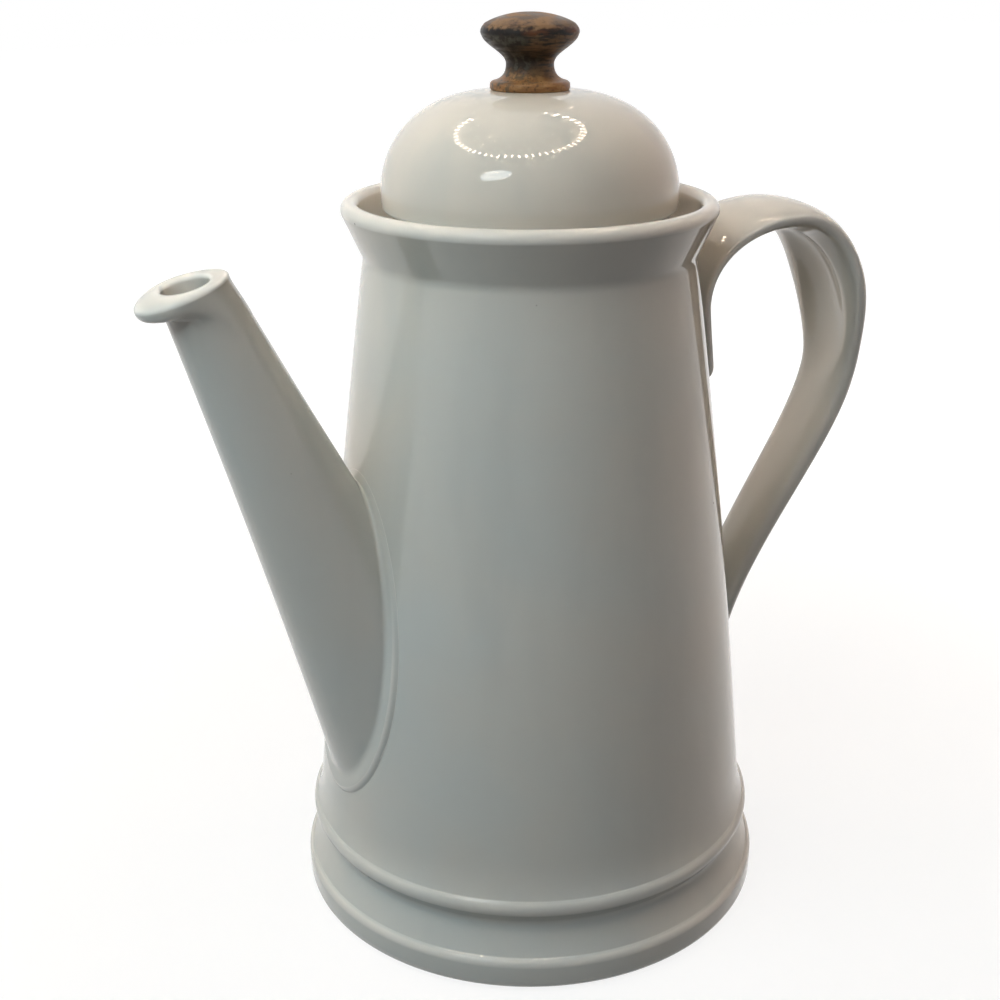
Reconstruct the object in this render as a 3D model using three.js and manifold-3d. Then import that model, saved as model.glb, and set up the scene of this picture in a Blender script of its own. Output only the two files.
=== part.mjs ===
// A tall glazed stoneware coffee pot with a straight hollow spout, a strap handle and a domed lid.
// Millimetres, +Z up. The pot stands on z = 0 with its turned axis on the Z axis.
// The spout points along -X and the handle along +X, both in the plane y = 0.
import * as THREE from 'three';
import { mergeVertices } from 'three/addons/utils/BufferGeometryUtils.js';
import Module from 'manifold-3d';

const wasm = await Module();
wasm.setup();

// Flared rim and neck
const rimHeight = 213;
const rimRadius = 52.6;
const lipRadius = 2.6;
const neckDrop = 15.6;
const neckInset = 5.6;
const neckHeight = rimHeight - neckDrop;
const neckRadius = rimRadius - neckInset;

// Foot ring, the groove above it and the raised bead that the side grows out of
const footRadius = 71.6;
const footHeight = 10.6;
const footEdgeRadius = 3;
const footRingWidth = 7;
const baseRecess = 1.5;
const grooveDepth = 6;
const grooveHeight = 19.2;
const beadInset = 2.4;
const beadHeight = 25.2;
const beadRound = 3.4;
const sideInset = 5.2;
const sideHeight = 32.4;
const sideBulge = 1.1;

// Walls
const wall = 4.8;
const floorThickness = 6;
const floorCornerRadius = 9;
const softEdge = 0.8;

// Ledge inside the neck that the lid rests on
const seatDepth = 11.4;
const seatWidth = 3.6;
const ledgeDrop = 14;
const ledgeRadius = 41.3;
const seatHeight = rimHeight - seatDepth;
const seatRadius = ledgeRadius + seatWidth;

// Lid: skirt, brim, cove and dome
const seatGap = 0.3;
const skirtClearance = 0.7;
const skirtLength = 9;
const skirtThickness = 3.4;
const brimClearance = 0.7;
const brimThickness = 2.1;
const coveInset = 5.9;
const coveHeight = 5;
const domeInset = 2.8;
const domeUndercut = 4.8;
const domeWidestHeight = 12.4;
const domeHeight = 39.8;
const domeShoulder = 19.5;
const crownRadius = 11.7;
const lidWall = 4.4;

// Turned wooden knob
const knobHeight = 20.3;
const knobRadius = 13.4;
const knobBaseRadius = 10.9;
const knobBaseHeight = 2.4;
const knobWaistRadius = 6.5;
const knobWaistHeight = 6.8;
const knobWidestHeight = 15;
const knobCrownHeight = 17.2;
const knobEdge = 0.6;
const pilotDepth = 12;

// Screw and washer that hold the knob from inside the lid
const screwRadius = 1.75;
const screwClearance = 0.2;
const screwHoleRadius = screwRadius + screwClearance;
const screwHeadRadius = 3.6;
const screwHeadHeight = 2.1;
const screwTipGap = 2;
const slotWidth = 1;
const slotDepth = 1;
const washerRadius = 6.5;
const washerThickness = 1.2;

// Spout: a straight tapered tube that leans out from the pot
const spoutReach = 95.8;
const spoutBelowRim = 17.9;
const spoutHeight = rimHeight - spoutBelowRim;
const spoutLean = THREE.MathUtils.degToRad(68.4);
const spoutTipHalfDepth = 9.75;
const spoutTipHalfWidth = 9.9;
const spoutDepthTaper = 0.088;
const spoutWidthTaper = 0.104;
const spoutFootSwell = 0.00015;
const spoutWall = 3.8;
const spoutHoleHeight = 76;
const spoutHoleHalfWidth = 12;
const spoutHoleHalfHeight = 15;

// Pouring lip: the mouth's place and tilt, and the roll round it, which bows down in front
const boreRadius = 6.3;
const mouthForward = 2.9;
const mouthRise = 2.6;
const mouthTilt = THREE.MathUtils.degToRad(13);
const lipFront = 7.7;
const lipBack = 5.1;
const lipSide = 4.9;
const lipRise = 1.4;
const lipBow = 2.2;
const lipDepth = 3.4;
const throatFront = 1.2;
const throatBack = 4.8;

// Luting collar round the foot of the spout
const collarWidth = 5.2;
const collarHeight = 1.3;
const collarRoot = 2.3;

// Handle, middle line: from the neck over the arch and down to the side
const rootBelowRim = 36.9;
const rootProud = 1.5;
const rootPull = 16.9;
const crownBelowRim = 10.3;
const crownOut = 29.8;
const crownPullIn = 17;
const crownPullOut = 21.4;
const handleOut = 59.7;
const archDrop = 47.2;
const archPullUp = 20.6;
const archPullDown = 28.9;
const handleFootHeight = 48;
const footProud = 0.4;
const footPull = 42.9;
const footPullIn = 1;

// Handle, strap: widths and their places along it, section, tail and foot
const strapHalfThickness = 4.8;
const rootHalfWidth = 14.5;
const archHalfWidth = 17.9;
const runHalfWidth = 11.5;
const footHalfWidth = 7.7;
const archAt = 0.4;
const runAt = 0.56;
const outerFullness = 1.9;
const innerFullness = 2.5;
const tailLength = 21;
const tailRound = 6;
const footRound = 7;
const endBlunt = 1;
const endWidth = 0.45;
const rootThinOutside = 3;
const rootThinInside = 0.9;
const rootThinRun = 60;
const footFlare = 2.4;
const footFlareFade = 8;

// Handle, thumb hollow: a long oval dish inside the strap where the arch turns down
const hollowDepth = 3.4;
const hollowHalfWidth = 11;
const hollowStart = 0.31;
const hollowEnd = 0.57;

// Gap kept where a clay piece is fitted to the side of the pot
const fitGap = 0.25;

// Facets
const turnFacets = 56;
const knobFacets = 36;
const screwFacets = 24;
const spoutFacets = 32;
const strapFacets = 26;
const strapStations = 32;

const acrossPot = new THREE.Vector3(0, 1, 0);

function point(r, z) {
  return new THREE.Vector2(r, z);
}

// Points on a circular arc in a turned profile, from angle a to angle b in degrees
function arc(r, z, radius, a, b, steps) {
  const points = [];
  for (let i = 0; i <= steps; i += 1) {
    const t = THREE.MathUtils.degToRad(THREE.MathUtils.lerp(a, b, i / steps));
    points.push(point(r + radius * Math.cos(t), z + radius * Math.sin(t)));
  }
  return points;
}

// A closed solid from a geometry, with shared corners merged and slivers left out
function solidOf(geometry) {
  const bare = geometry.clone();
  bare.deleteAttribute('normal');
  bare.deleteAttribute('uv');
  const merged = mergeVertices(bare, 1e-4);
  const corners = merged.index.array;
  const kept = [];
  for (let i = 0; i < corners.length; i += 3) {
    const [a, b, c] = corners.slice(i, i + 3);
    if (a !== b && b !== c && c !== a) kept.push(a, b, c);
  }
  const mesh = new wasm.Mesh({
    numProp: 3,
    vertProperties: new Float32Array(merged.attributes.position.array),
    triVerts: new Uint32Array(kept),
  });
  return new wasm.Manifold(mesh);
}

function geometryOf(solid) {
  const mesh = solid.getMesh();
  const geometry = new THREE.BufferGeometry();
  geometry.setAttribute('position', new THREE.BufferAttribute(mesh.vertProperties, 3));
  geometry.setIndex(new THREE.BufferAttribute(mesh.triVerts, 1));
  geometry.computeVertexNormals();
  return geometry;
}

// A turned solid: the profile runs anticlockwise seen with the axis on its left
function turned(profile, facets, closesOnItself = false) {
  const points = closesOnItself ? [...profile, profile[0].clone()] : profile;
  const geometry = new THREE.LatheGeometry(points, facets);
  geometry.rotateX(Math.PI / 2);
  return solidOf(geometry);
}

// A skin over rings of equal count, either joined end to end or capped flat at both ends
function skinOf(rings, closedLoop) {
  const count = rings[0].length;
  const positions = rings.flat().flatMap((p) => [p.x, p.y, p.z]);
  const faces = [];
  const spans = closedLoop ? rings.length : rings.length - 1;
  for (let i = 0; i < spans; i += 1) {
    const here = i * count;
    const next = ((i + 1) % rings.length) * count;
    for (let j = 0; j < count; j += 1) {
      const k = (j + 1) % count;
      faces.push(here + j, next + j, next + k, here + j, next + k, here + k);
    }
  }
  if (!closedLoop) {
    for (const [ring, opens] of [[0, true], [rings.length - 1, false]]) {
      const middle = positions.length / 3;
      const sum = rings[ring].reduce((s, p) => s.add(p), new THREE.Vector3()).divideScalar(count);
      positions.push(sum.x, sum.y, sum.z);
      for (let j = 0; j < count; j += 1) {
        const a = ring * count + j;
        const b = ring * count + ((j + 1) % count);
        faces.push(middle, opens ? a : b, opens ? b : a);
      }
    }
  }
  const geometry = new THREE.BufferGeometry();
  geometry.setAttribute('position', new THREE.Float32BufferAttribute(positions, 3));
  geometry.setIndex(faces);
  const solid = solidOf(geometry);
  if (solid.volume() > 0) return solid;
  for (let i = 0; i < faces.length; i += 3) [faces[i], faces[i + 1]] = [faces[i + 1], faces[i]];
  geometry.setIndex(faces);
  return solidOf(geometry);
}

// The outside of the side wall: a cone with a slight swell, from the bead to the neck
const sideRadius = footRadius - sideInset;
const sideCurve = new THREE.QuadraticBezierCurve(
  point(sideRadius, sideHeight),
  point((sideRadius + neckRadius) / 2 + 2 * sideBulge, (sideHeight + neckHeight) / 2),
  point(neckRadius, neckHeight),
);

// Outside radius of the side wall at a height
function outsideRadius(z) {
  const up = (z - sideHeight) / (neckHeight - sideHeight);
  return sideCurve.getPoint(THREE.MathUtils.clamp(up, 0, 1)).x;
}

// The outside profile from the standing ring up to the top of the rim, grown by a gap
function outsideProfile(gap) {
  const footMiddle = footRadius - footEdgeRadius;
  return [
    ...arc(footMiddle, footEdgeRadius, footEdgeRadius + gap, -90, 0, 3),
    ...arc(footMiddle, footHeight - footEdgeRadius, footEdgeRadius + gap, 0, 62, 2),
    point(footRadius - grooveDepth + gap, grooveHeight),
    ...arc(footRadius - beadInset - beadRound, beadHeight, beadRound + gap, -38, 52, 5),
    ...sideCurve.getPoints(6).map((p) => point(p.x + gap, p.y)),
    ...arc(rimRadius - lipRadius, rimHeight - lipRadius, lipRadius + gap, -52, 90, 6),
  ];
}

// The pot without its spout hole: standing ring, outside, rim, lid seat, ledge, inside and floor
function potProfile() {
  const recessRadius = footRadius - footRingWidth - footEdgeRadius;
  const floorTop = baseRecess + floorThickness;
  const corner = floorCornerRadius;
  const inside = sideCurve.getPoints(5).map((p) => point(p.x - wall, p.y)).reverse();
  return [
    point(0, baseRecess),
    point(recessRadius, baseRecess),
    point(recessRadius + baseRecess, 0),
    ...outsideProfile(0),
    ...arc(rimRadius - lipRadius, rimHeight - lipRadius, lipRadius, 120, 180, 2),
    point(seatRadius, seatHeight + softEdge),
    point(seatRadius - softEdge, seatHeight),
    point(ledgeRadius + softEdge, seatHeight),
    point(ledgeRadius, seatHeight - softEdge),
    ...inside.filter((p) => p.y < seatHeight - ledgeDrop),
    ...arc(sideRadius - wall - corner, floorTop + corner, corner, 0, -90, 3),
    point(0, floorTop),
  ];
}

function potBody() {
  const hole = new THREE.CylinderGeometry(1, 1, 4 * wall, spoutFacets);
  hole.scale(spoutHoleHalfHeight, 1, spoutHoleHalfWidth);
  hole.rotateZ(Math.PI / 2);
  hole.translate(-outsideRadius(spoutHoleHeight) + wall / 2, 0, spoutHoleHeight);
  return turned(potProfile(), turnFacets).subtract(solidOf(hole));
}

// The pot filled in up to its outside, grown by the gap that fitted pieces keep
function filledPot() {
  return turned([point(0, 0), ...outsideProfile(fitGap), point(0, rimHeight + fitGap)], turnFacets);
}

// Spout directions in the plane y = 0: down the tube, and square to it on the pouring side
const spoutDown = new THREE.Vector3(Math.cos(spoutLean), 0, -Math.sin(spoutLean));
const spoutFront = new THREE.Vector3(-Math.sin(spoutLean), 0, -Math.cos(spoutLean));
const spoutTip = new THREE.Vector3(-spoutReach, 0, spoutHeight);

// Half the tube's depth, front to back, at a distance down from the tip
function spoutHalfDepth(down) {
  return spoutTipHalfDepth + spoutDepthTaper * down + spoutFootSwell * down * down;
}

function spoutHalfWidth(down) {
  return spoutTipHalfWidth + spoutWidthTaper * down;
}

// A point on the tube's outside, drawn in by an inset, where turn 0 is the pouring side
function tubePoint(down, turn, inset = 0) {
  const p = spoutTip.clone().addScaledVector(spoutDown, down);
  p.addScaledVector(spoutFront, (spoutHalfDepth(down) - inset) * Math.cos(turn));
  return p.addScaledVector(acrossPot, (spoutHalfWidth(down) - inset) * Math.sin(turn));
}

// The turns of the points round a spout ring
function ringTurns() {
  return Array.from({ length: spoutFacets }, (_, j) => (2 * Math.PI * j) / spoutFacets);
}

function tubeRing(down, inset) {
  return ringTurns().map((turn) => tubePoint(down, turn, inset));
}

// An oval ring whose front and back points lie in the plane y = 0
function ovalRing(front, back, halfWidth) {
  const middle = front.clone().add(back).multiplyScalar(0.5);
  const half = front.clone().sub(back).multiplyScalar(0.5);
  return ringTurns().map((turn) => {
    const p = middle.clone().addScaledVector(half, Math.cos(turn));
    return p.addScaledVector(acrossPot, halfWidth * Math.sin(turn));
  });
}

// A ring of the pouring lip, where turn goes from the edge of the bore over the top and under the front
function lipRing(turnDegrees) {
  const turn = THREE.MathUtils.degToRad(turnDegrees);
  const forward = new THREE.Vector3(-Math.cos(mouthTilt), 0, -Math.sin(mouthTilt));
  const upward = new THREE.Vector3(-Math.sin(mouthTilt), 0, Math.cos(mouthTilt));
  const middle = spoutTip.clone().add(new THREE.Vector3(-mouthForward, 0, mouthRise));
  const out = (1 - Math.cos(turn)) / 2;
  const under = turnDegrees > 180;
  const rise = under ? lipDepth * Math.sin(turn) : lipRise * Math.sqrt(Math.abs(Math.sin(turn)));
  const front = middle.clone().addScaledVector(forward, boreRadius + lipFront * out);
  front.addScaledVector(upward, rise - lipBow * out * out);
  const back = middle.clone().addScaledVector(forward, -boreRadius - lipBack * out);
  back.addScaledVector(upward, rise);
  if (under) back.copy(tubePoint((lipDepth * (turnDegrees - 180)) / 90, Math.PI));
  return ovalRing(front, back, boreRadius + (lipSide * (out + 2 * Math.sqrt(out))) / 3);
}

// How far down the tube, on one side of it, the outside of the pot is met
function metAt(turn) {
  let [near, far] = [0, spoutHeight];
  for (let i = 0; i < 40; i += 1) {
    const middle = (near + far) / 2;
    const p = tubePoint(middle, turn);
    if (Math.hypot(p.x, p.y) < outsideRadius(p.z)) far = middle;
    else near = middle;
  }
  return near;
}

// The luting collar: a low rounded border pressed on the pot round the foot of the spout
function collar() {
  const joint = ringTurns().map((turn) => tubePoint(metAt(turn), turn));
  const middle = joint[0].clone().add(joint[spoutFacets / 2]).multiplyScalar(0.5);
  const edgeHeight = 2 * fitGap;
  const section = [
    point(-collarRoot, -wall / 2),
    point(collarWidth, -wall / 2),
    ...arc(0, 0, 1, 0, 180, 5).map((p) => point(
      (collarWidth * (1 + p.x)) / 2,
      edgeHeight + (collarHeight - edgeHeight) * p.y,
    )),
    point(-collarRoot, fitGap),
  ];
  const rings = joint.map((p, j) => {
    const next = joint[(j + 1) % spoutFacets];
    const last = joint[(j + spoutFacets - 1) % spoutFacets];
    const outward = new THREE.Vector3(p.x, p.y, 0).normalize();
    const away = next.clone().sub(last).cross(outward).normalize();
    if (away.dot(p.clone().sub(middle)) < 0) away.negate();
    return section.map((offset) => {
      const place = p.clone().addScaledVector(away, offset.x);
      const spread = (outsideRadius(place.z) + offset.y) / Math.hypot(place.x, place.y);
      return new THREE.Vector3(place.x * spread, place.y * spread, place.z);
    });
  });
  return skinOf(rings, true);
}

// The spout: the tube's outside up to the throat, the rolled lip, then the bore back down to the root
function spout() {
  const root = metAt(0) + 3 * wall;
  const top = throatFront + throatBack + boreRadius;
  const throatHalfWidth = spoutHalfWidth((throatFront + throatBack) / 2);
  const throat = ovalRing(tubePoint(throatFront, 0), tubePoint(throatBack, Math.PI), throatHalfWidth);
  const steps = 5;
  const outer = [];
  const inner = [];
  for (let i = 0; i <= steps; i += 1) {
    const down = THREE.MathUtils.lerp(root, top, i / steps);
    outer.push(tubeRing(down, 0));
    inner.unshift(tubeRing(down, spoutWall));
  }
  const lip = [285, 250, 215, 180, 140, 95, 40, 0].map(lipRing);
  const tube = skinOf([...outer, throat, ...lip, ...inner], true);
  return tube.add(collar()).subtract(filledPot());
}

// The handle's middle line: a tail on the neck, the arch in two curves, then a run down to the side
function handleLine() {
  const place = (x, z) => new THREE.Vector3(x, 0, z);
  const rootHeight = rimHeight - rootBelowRim;
  const tailHeight = rootHeight - tailLength;
  const crownHeight = rimHeight - crownBelowRim;
  const crownX = rimRadius + crownOut;
  const turnHeight = crownHeight - archDrop;
  const turnX = rimRadius + handleOut;
  const tail = place(outsideRadius(tailHeight) + rootProud, tailHeight);
  const root = place(outsideRadius(rootHeight) + rootProud, rootHeight);
  const crown = place(crownX, crownHeight);
  const turn = place(turnX, turnHeight);
  const foot = place(outsideRadius(handleFootHeight) + footProud, handleFootHeight);
  const line = new THREE.CurvePath();
  line.add(new THREE.LineCurve3(tail, root));
  line.add(new THREE.CubicBezierCurve3(
    root,
    root.clone().sub(tail).setLength(rootPull).add(root),
    place(crownX - crownPullIn, crownHeight),
    crown,
  ));
  line.add(new THREE.CubicBezierCurve3(
    crown,
    place(crownX + crownPullOut, crownHeight),
    place(turnX, turnHeight + archPullUp),
    turn,
  ));
  line.add(new THREE.CubicBezierCurve3(
    turn,
    place(turnX, turnHeight - archPullDown),
    place(foot.x - footPullIn, handleFootHeight + footPull),
    foot,
  ));
  return line;
}

// Half the strap's width: widest on the arch, then narrowing down the run to the foot
function strapHalfWidth(t) {
  const { lerp, smoothstep } = THREE.MathUtils;
  if (t < archAt) return lerp(rootHalfWidth, archHalfWidth, smoothstep(t, 0, archAt));
  if (t < runAt) return lerp(archHalfWidth, runHalfWidth, smoothstep(t, archAt, runAt));
  return lerp(runHalfWidth, footHalfWidth, (t - runAt) / (1 - runAt));
}

// How far in from the hollow's two ends a place is: 1 in its middle, 0 at its ends
function hollowAt(t) {
  const fromMiddle = (2 * t - hollowStart - hollowEnd) / (hollowEnd - hollowStart);
  return 1 - fromMiddle ** 2;
}

// The strap's section: rounded outside, flatter inside, with the hollow's share of its depth
function strapRing(middle, outward, outerHalf, innerHalf, halfWidth, within) {
  const ring = [];
  for (let j = 0; j < strapFacets; j += 1) {
    const turn = (2 * Math.PI * j) / strapFacets;
    const [c, s] = [Math.cos(turn), Math.sin(turn)];
    const power = 2 / (s > 0 ? outerFullness : innerFullness);
    const across = Math.sign(c) * Math.abs(c) ** power * halfWidth;
    const round = Math.abs(s) ** power;
    const hollow = hollowDepth * Math.max(0, within - (across / hollowHalfWidth) ** 2);
    const depth = s > 0 ? outerHalf * round : hollow - innerHalf * round;
    const p = middle.clone().addScaledVector(outward, depth);
    ring.push(p.addScaledVector(acrossPot, across));
  }
  return ring;
}

// How full the strap is at a distance from a rounded end
function fullness(distance, round) {
  return Math.sqrt(1 - (1 - Math.min(1, (distance + endBlunt) / round)) ** 2);
}

function handle() {
  const { lerp } = THREE.MathUtils;
  const line = handleLine();
  const length = line.getLength();
  const rings = [];
  for (let i = 0; i <= strapStations; i += 1) {
    const t = i / strapStations;
    const run = t * length;
    const along = line.getTangentAt(t);
    const outward = new THREE.Vector3(-along.z, 0, along.x);
    const flare = footFlare * Math.exp((run - length) / footFlareFade);
    const nearRoot = Math.exp(-((run / rootThinRun) ** 2));
    const tail = fullness(run, tailRound);
    const toe = fullness(length - run, footRound);
    const halfWidth = strapHalfWidth(t) * lerp(endWidth, 1, tail) * lerp(endWidth, 1, toe);
    const outerHalf = (strapHalfThickness + flare - rootThinOutside * nearRoot) * toe;
    const innerHalf = (strapHalfThickness + flare - rootThinInside * nearRoot) * tail;
    rings.push(strapRing(line.getPointAt(t), outward, outerHalf, innerHalf, halfWidth, hollowAt(t)));
  }
  return skinOf(rings, false).subtract(filledPot());
}

const lidFoot = seatHeight + seatGap;
const crownTop = lidFoot + domeHeight;

// The dome's curve from its widest circle to the flat crown, drawn in by an inset
function domeCurve(inset) {
  const domeRadius = seatRadius - brimClearance - domeInset - inset;
  const widest = lidFoot + domeWidestHeight;
  const top = crownTop - inset;
  return new THREE.CubicBezierCurve(
    point(domeRadius, widest),
    point(domeRadius, (widest + top) / 2),
    point(crownRadius + domeShoulder - inset, top - softEdge),
    point(crownRadius, top),
  );
}

// The lid: a hollow dome with a brim that rests on the ledge and a skirt that hangs inside it
function lid() {
  const skirtRadius = ledgeRadius - skirtClearance;
  const skirtInside = skirtRadius - skirtThickness;
  const skirtFoot = lidFoot - skirtLength;
  const brimRadius = seatRadius - brimClearance;
  const brimTop = lidFoot + brimThickness;
  const coveRadius = brimRadius - coveInset;
  const coveTop = lidFoot + coveHeight;
  const undercut = lidFoot + domeWidestHeight - domeUndercut;
  const profile = [
    point(screwHoleRadius, crownTop - lidWall),
    ...domeCurve(lidWall).getPoints(6).reverse(),
    point(skirtInside, coveTop),
    point(skirtInside, skirtFoot + softEdge),
    point(skirtInside + softEdge, skirtFoot),
    point(skirtRadius - softEdge, skirtFoot),
    point(skirtRadius, skirtFoot + softEdge),
    point(skirtRadius, lidFoot),
    point(brimRadius - softEdge, lidFoot),
    point(brimRadius, lidFoot + softEdge),
    point(brimRadius, brimTop - softEdge),
    point(brimRadius - softEdge, brimTop),
    point(coveRadius + softEdge, coveTop - softEdge),
    point(coveRadius, coveTop),
    point(coveRadius + softEdge / 2, undercut),
    point(brimRadius - domeInset - softEdge, undercut + 2 * softEdge),
    ...domeCurve(0).getPoints(9),
    point(screwHoleRadius, crownTop),
  ];
  return turned(profile, turnFacets, true);
}

// The knob: a disc foot, a narrow waist, and a mushroom head with a low crown
function knob() {
  const waistPull = knobWaistHeight - knobBaseHeight;
  const headRise = knobWidestHeight - knobWaistHeight;
  const waist = new THREE.CubicBezierCurve(
    point(knobBaseRadius - knobEdge, knobBaseHeight),
    point(knobWaistRadius + knobEdge, knobBaseHeight + knobEdge),
    point(knobWaistRadius, knobWaistHeight - 0.4 * waistPull),
    point(knobWaistRadius, knobWaistHeight),
  );
  const head = new THREE.CubicBezierCurve(
    point(knobWaistRadius, knobWaistHeight),
    point(knobWaistRadius, knobWaistHeight + 0.32 * headRise),
    point(knobRadius - 4 * knobEdge, knobWidestHeight - 0.5 * headRise),
    point(knobRadius - knobEdge, knobWidestHeight - 0.18 * headRise),
  );
  const crown = new THREE.CubicBezierCurve(
    point(knobRadius - 2 * knobEdge, knobCrownHeight),
    point(knobRadius - 6 * knobEdge, (knobCrownHeight + knobHeight) / 2),
    point(0.4 * knobRadius, knobHeight),
    point(0, knobHeight),
  );
  const profile = [
    point(0, pilotDepth),
    point(screwHoleRadius, pilotDepth),
    point(screwHoleRadius, 0),
    point(knobBaseRadius, 0),
    point(knobBaseRadius, knobBaseHeight - knobEdge),
    ...waist.getPoints(4),
    ...head.getPoints(5).slice(1),
    point(knobRadius, knobWidestHeight),
    point(knobRadius - knobEdge / 2, (knobWidestHeight + knobCrownHeight) / 2),
    ...crown.getPoints(5),
  ];
  return turned(profile, knobFacets);
}

// The fibre washer under the screw's head, with its top face at z = 0
function washer() {
  const profile = [
    point(screwHoleRadius, -washerThickness),
    point(washerRadius, -washerThickness),
    point(washerRadius, 0),
    point(screwHoleRadius, 0),
  ];
  return turned(profile, screwFacets, true);
}

// Slotted pan-head screw: its head bears on the washer and its shank ends inside the knob
function knobScrew() {
  const reach = lidWall + washerThickness + pilotDepth - screwTipGap;
  const profile = [
    point(0, -screwHeadHeight),
    point(0.6 * screwHeadRadius, -screwHeadHeight),
    point(0.9 * screwHeadRadius, -0.7 * screwHeadHeight),
    point(screwHeadRadius, -0.25 * screwHeadHeight),
    point(screwHeadRadius, 0),
    point(screwRadius, 0),
    point(screwRadius, reach - screwRadius),
    point(0, reach),
  ];
  const slot = new THREE.BoxGeometry(4 * screwHeadRadius, slotWidth, 2 * slotDepth);
  slot.translate(0, 0, -screwHeadHeight);
  return turned(profile, screwFacets).subtract(solidOf(slot));
}

const glaze = { color: 0xdcdbd3, roughness: 0.15 };
const walnut = { color: 0x6a4a30, roughness: 0.5 };
const steel = { color: 0xb8b6b0, roughness: 0.35, metalness: 1 };
const fibre = { color: 0x7c4a34, roughness: 0.8 };

// A named piece at a height on the axis
function piece(name, solid, finish, height = 0) {
  const mesh = new THREE.Mesh(geometryOf(solid), new THREE.MeshStandardMaterial(finish));
  mesh.name = name;
  mesh.position.z = height;
  return mesh;
}

const pot = new THREE.Group();
pot.add(piece('pot_body', potBody(), glaze));
pot.add(piece('spout', spout(), glaze));
pot.add(piece('handle', handle(), glaze));

const liftingLid = new THREE.Group();
liftingLid.add(piece('lid', lid(), glaze));
liftingLid.add(piece('knob', knob(), walnut, crownTop));
liftingLid.add(piece('knob_washer', washer(), fibre, crownTop - lidWall));
liftingLid.add(piece('knob_screw', knobScrew(), steel, crownTop - lidWall - washerThickness));
pot.add(liftingLid);

export default pot;
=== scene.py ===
"""A tall glazed stoneware coffee pot with a straight spout, a strap handle and a domed lid.

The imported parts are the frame. Each clay and wood piece is drawn again here, finer, in the same place.
Sizes are in millimetres, +Z up, with the turned axis on Z, the spout along -X and the handle along +X.
"""

import sys
import logging
import math
from dataclasses import dataclass
from enum import Enum

import bmesh
import bpy
import numpy as np
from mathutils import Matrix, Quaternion, Vector


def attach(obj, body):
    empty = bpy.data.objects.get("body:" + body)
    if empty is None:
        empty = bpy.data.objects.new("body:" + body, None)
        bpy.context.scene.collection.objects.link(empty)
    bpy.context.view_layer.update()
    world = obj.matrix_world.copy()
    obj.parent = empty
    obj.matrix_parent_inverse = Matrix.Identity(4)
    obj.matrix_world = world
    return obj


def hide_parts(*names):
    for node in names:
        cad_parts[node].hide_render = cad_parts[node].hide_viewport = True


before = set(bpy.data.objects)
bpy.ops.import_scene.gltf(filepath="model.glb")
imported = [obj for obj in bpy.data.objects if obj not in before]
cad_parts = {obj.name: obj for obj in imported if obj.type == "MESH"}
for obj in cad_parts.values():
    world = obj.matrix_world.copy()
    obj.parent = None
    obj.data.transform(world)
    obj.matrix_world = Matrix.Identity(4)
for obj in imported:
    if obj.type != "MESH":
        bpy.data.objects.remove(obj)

log = logging.getLogger("coffee_pot")

MM = 0.001

Profile = list[tuple[float, float]]
Colour = tuple[float, float, float]
Span = tuple[float, float]
Wires = dict[str | int, object]
Socket = bpy.types.NodeSocket
Piece = bpy.types.Object
Mesh = bpy.types.Mesh
Finish = bpy.types.Material


class Carrier(Enum):
    """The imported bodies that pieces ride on."""

    POT = "pot"
    LID = "lid_assembly"


class Slot(Enum):
    """The record's material slots."""

    GLAZE = "glaze"
    KNOB_WOOD = "knob_wood"
    WASHER_FIBRE = "washer_fibre"
    SCREW_STEEL = "screw_steel"


# Curves and profiles


def arc(r: float, z: float, radius: float, start: float, end: float, steps: int) -> Profile:
    """Draws a circular arc in a turned profile.

    Args:
        r: Distance of the arc's centre from the axis.
        z: Height of the centre.
        radius: Radius of the arc.
        start: First angle in degrees.
        end: Last angle in degrees.
        steps: Number of chords.

    Returns:
        The points from start to end.
    """
    turns = np.radians(np.linspace(start, end, steps + 1))
    return [(r + radius * math.cos(t), z + radius * math.sin(t)) for t in turns]


def bowed(corners: list[tuple[float, ...]], steps: int) -> np.ndarray:
    """Draws a smooth curve from the first corner to the last, pulled towards those between.

    Args:
        corners: The points that shape the curve.
        steps: Number of chords.

    Returns:
        An array of steps + 1 points.
    """
    t = np.linspace(0.0, 1.0, steps + 1)[:, None]
    rows = [np.repeat(np.array(c, float)[None], len(t), axis=0) for c in corners]
    while len(rows) > 1:
        rows = [(1 - t) * a + t * b for a, b in zip(rows, rows[1:])]
    return rows[0]


def softened(
    profile: Profile, reach: float, least_turn: float = 14.0, steps: int = 5, most_share: float = 0.45
) -> Profile:
    """Rounds the sharp corners of a profile, as glaze does.

    Args:
        profile: The points in order.
        reach: Distance from a corner at which its rounding starts.
        least_turn: Corners that turn less than this many degrees are left alone.
        steps: Chords in each rounding.
        most_share: The most that a rounding may take of the line on either side of its corner.

    Returns:
        The profile with its corners rounded.
    """
    p = np.array(profile, float)
    out: list[tuple[float, float]] = [tuple(p[0])]
    for before, here, after in zip(p, p[1:], p[2:]):
        a, b = before - here, after - here
        la, lb = np.linalg.norm(a), np.linalg.norm(b)
        bend = 180 - math.degrees(math.acos(np.clip(a @ b / (la * lb), -1, 1)))
        if bend < least_turn:
            out.append(tuple(here))
            continue
        cut = min(reach, most_share * la, most_share * lb)
        out += [tuple(q) for q in bowed([here + a * cut / la, here, here + b * cut / lb], steps)]
    out.append(tuple(p[-1]))
    return out


def evenly(points: np.ndarray, count: int) -> np.ndarray:
    """Respaces a line of points by its length.

    Args:
        points: The line, one point a row.
        count: Number of points wanted.

    Returns:
        The respaced points.
    """
    run = np.r_[0, np.cumsum(np.linalg.norm(np.diff(points, axis=0), axis=1))]
    at = np.linspace(0, run[-1], count)
    return np.stack([np.interp(at, run, points[:, k]) for k in range(points.shape[1])], axis=1)


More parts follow.
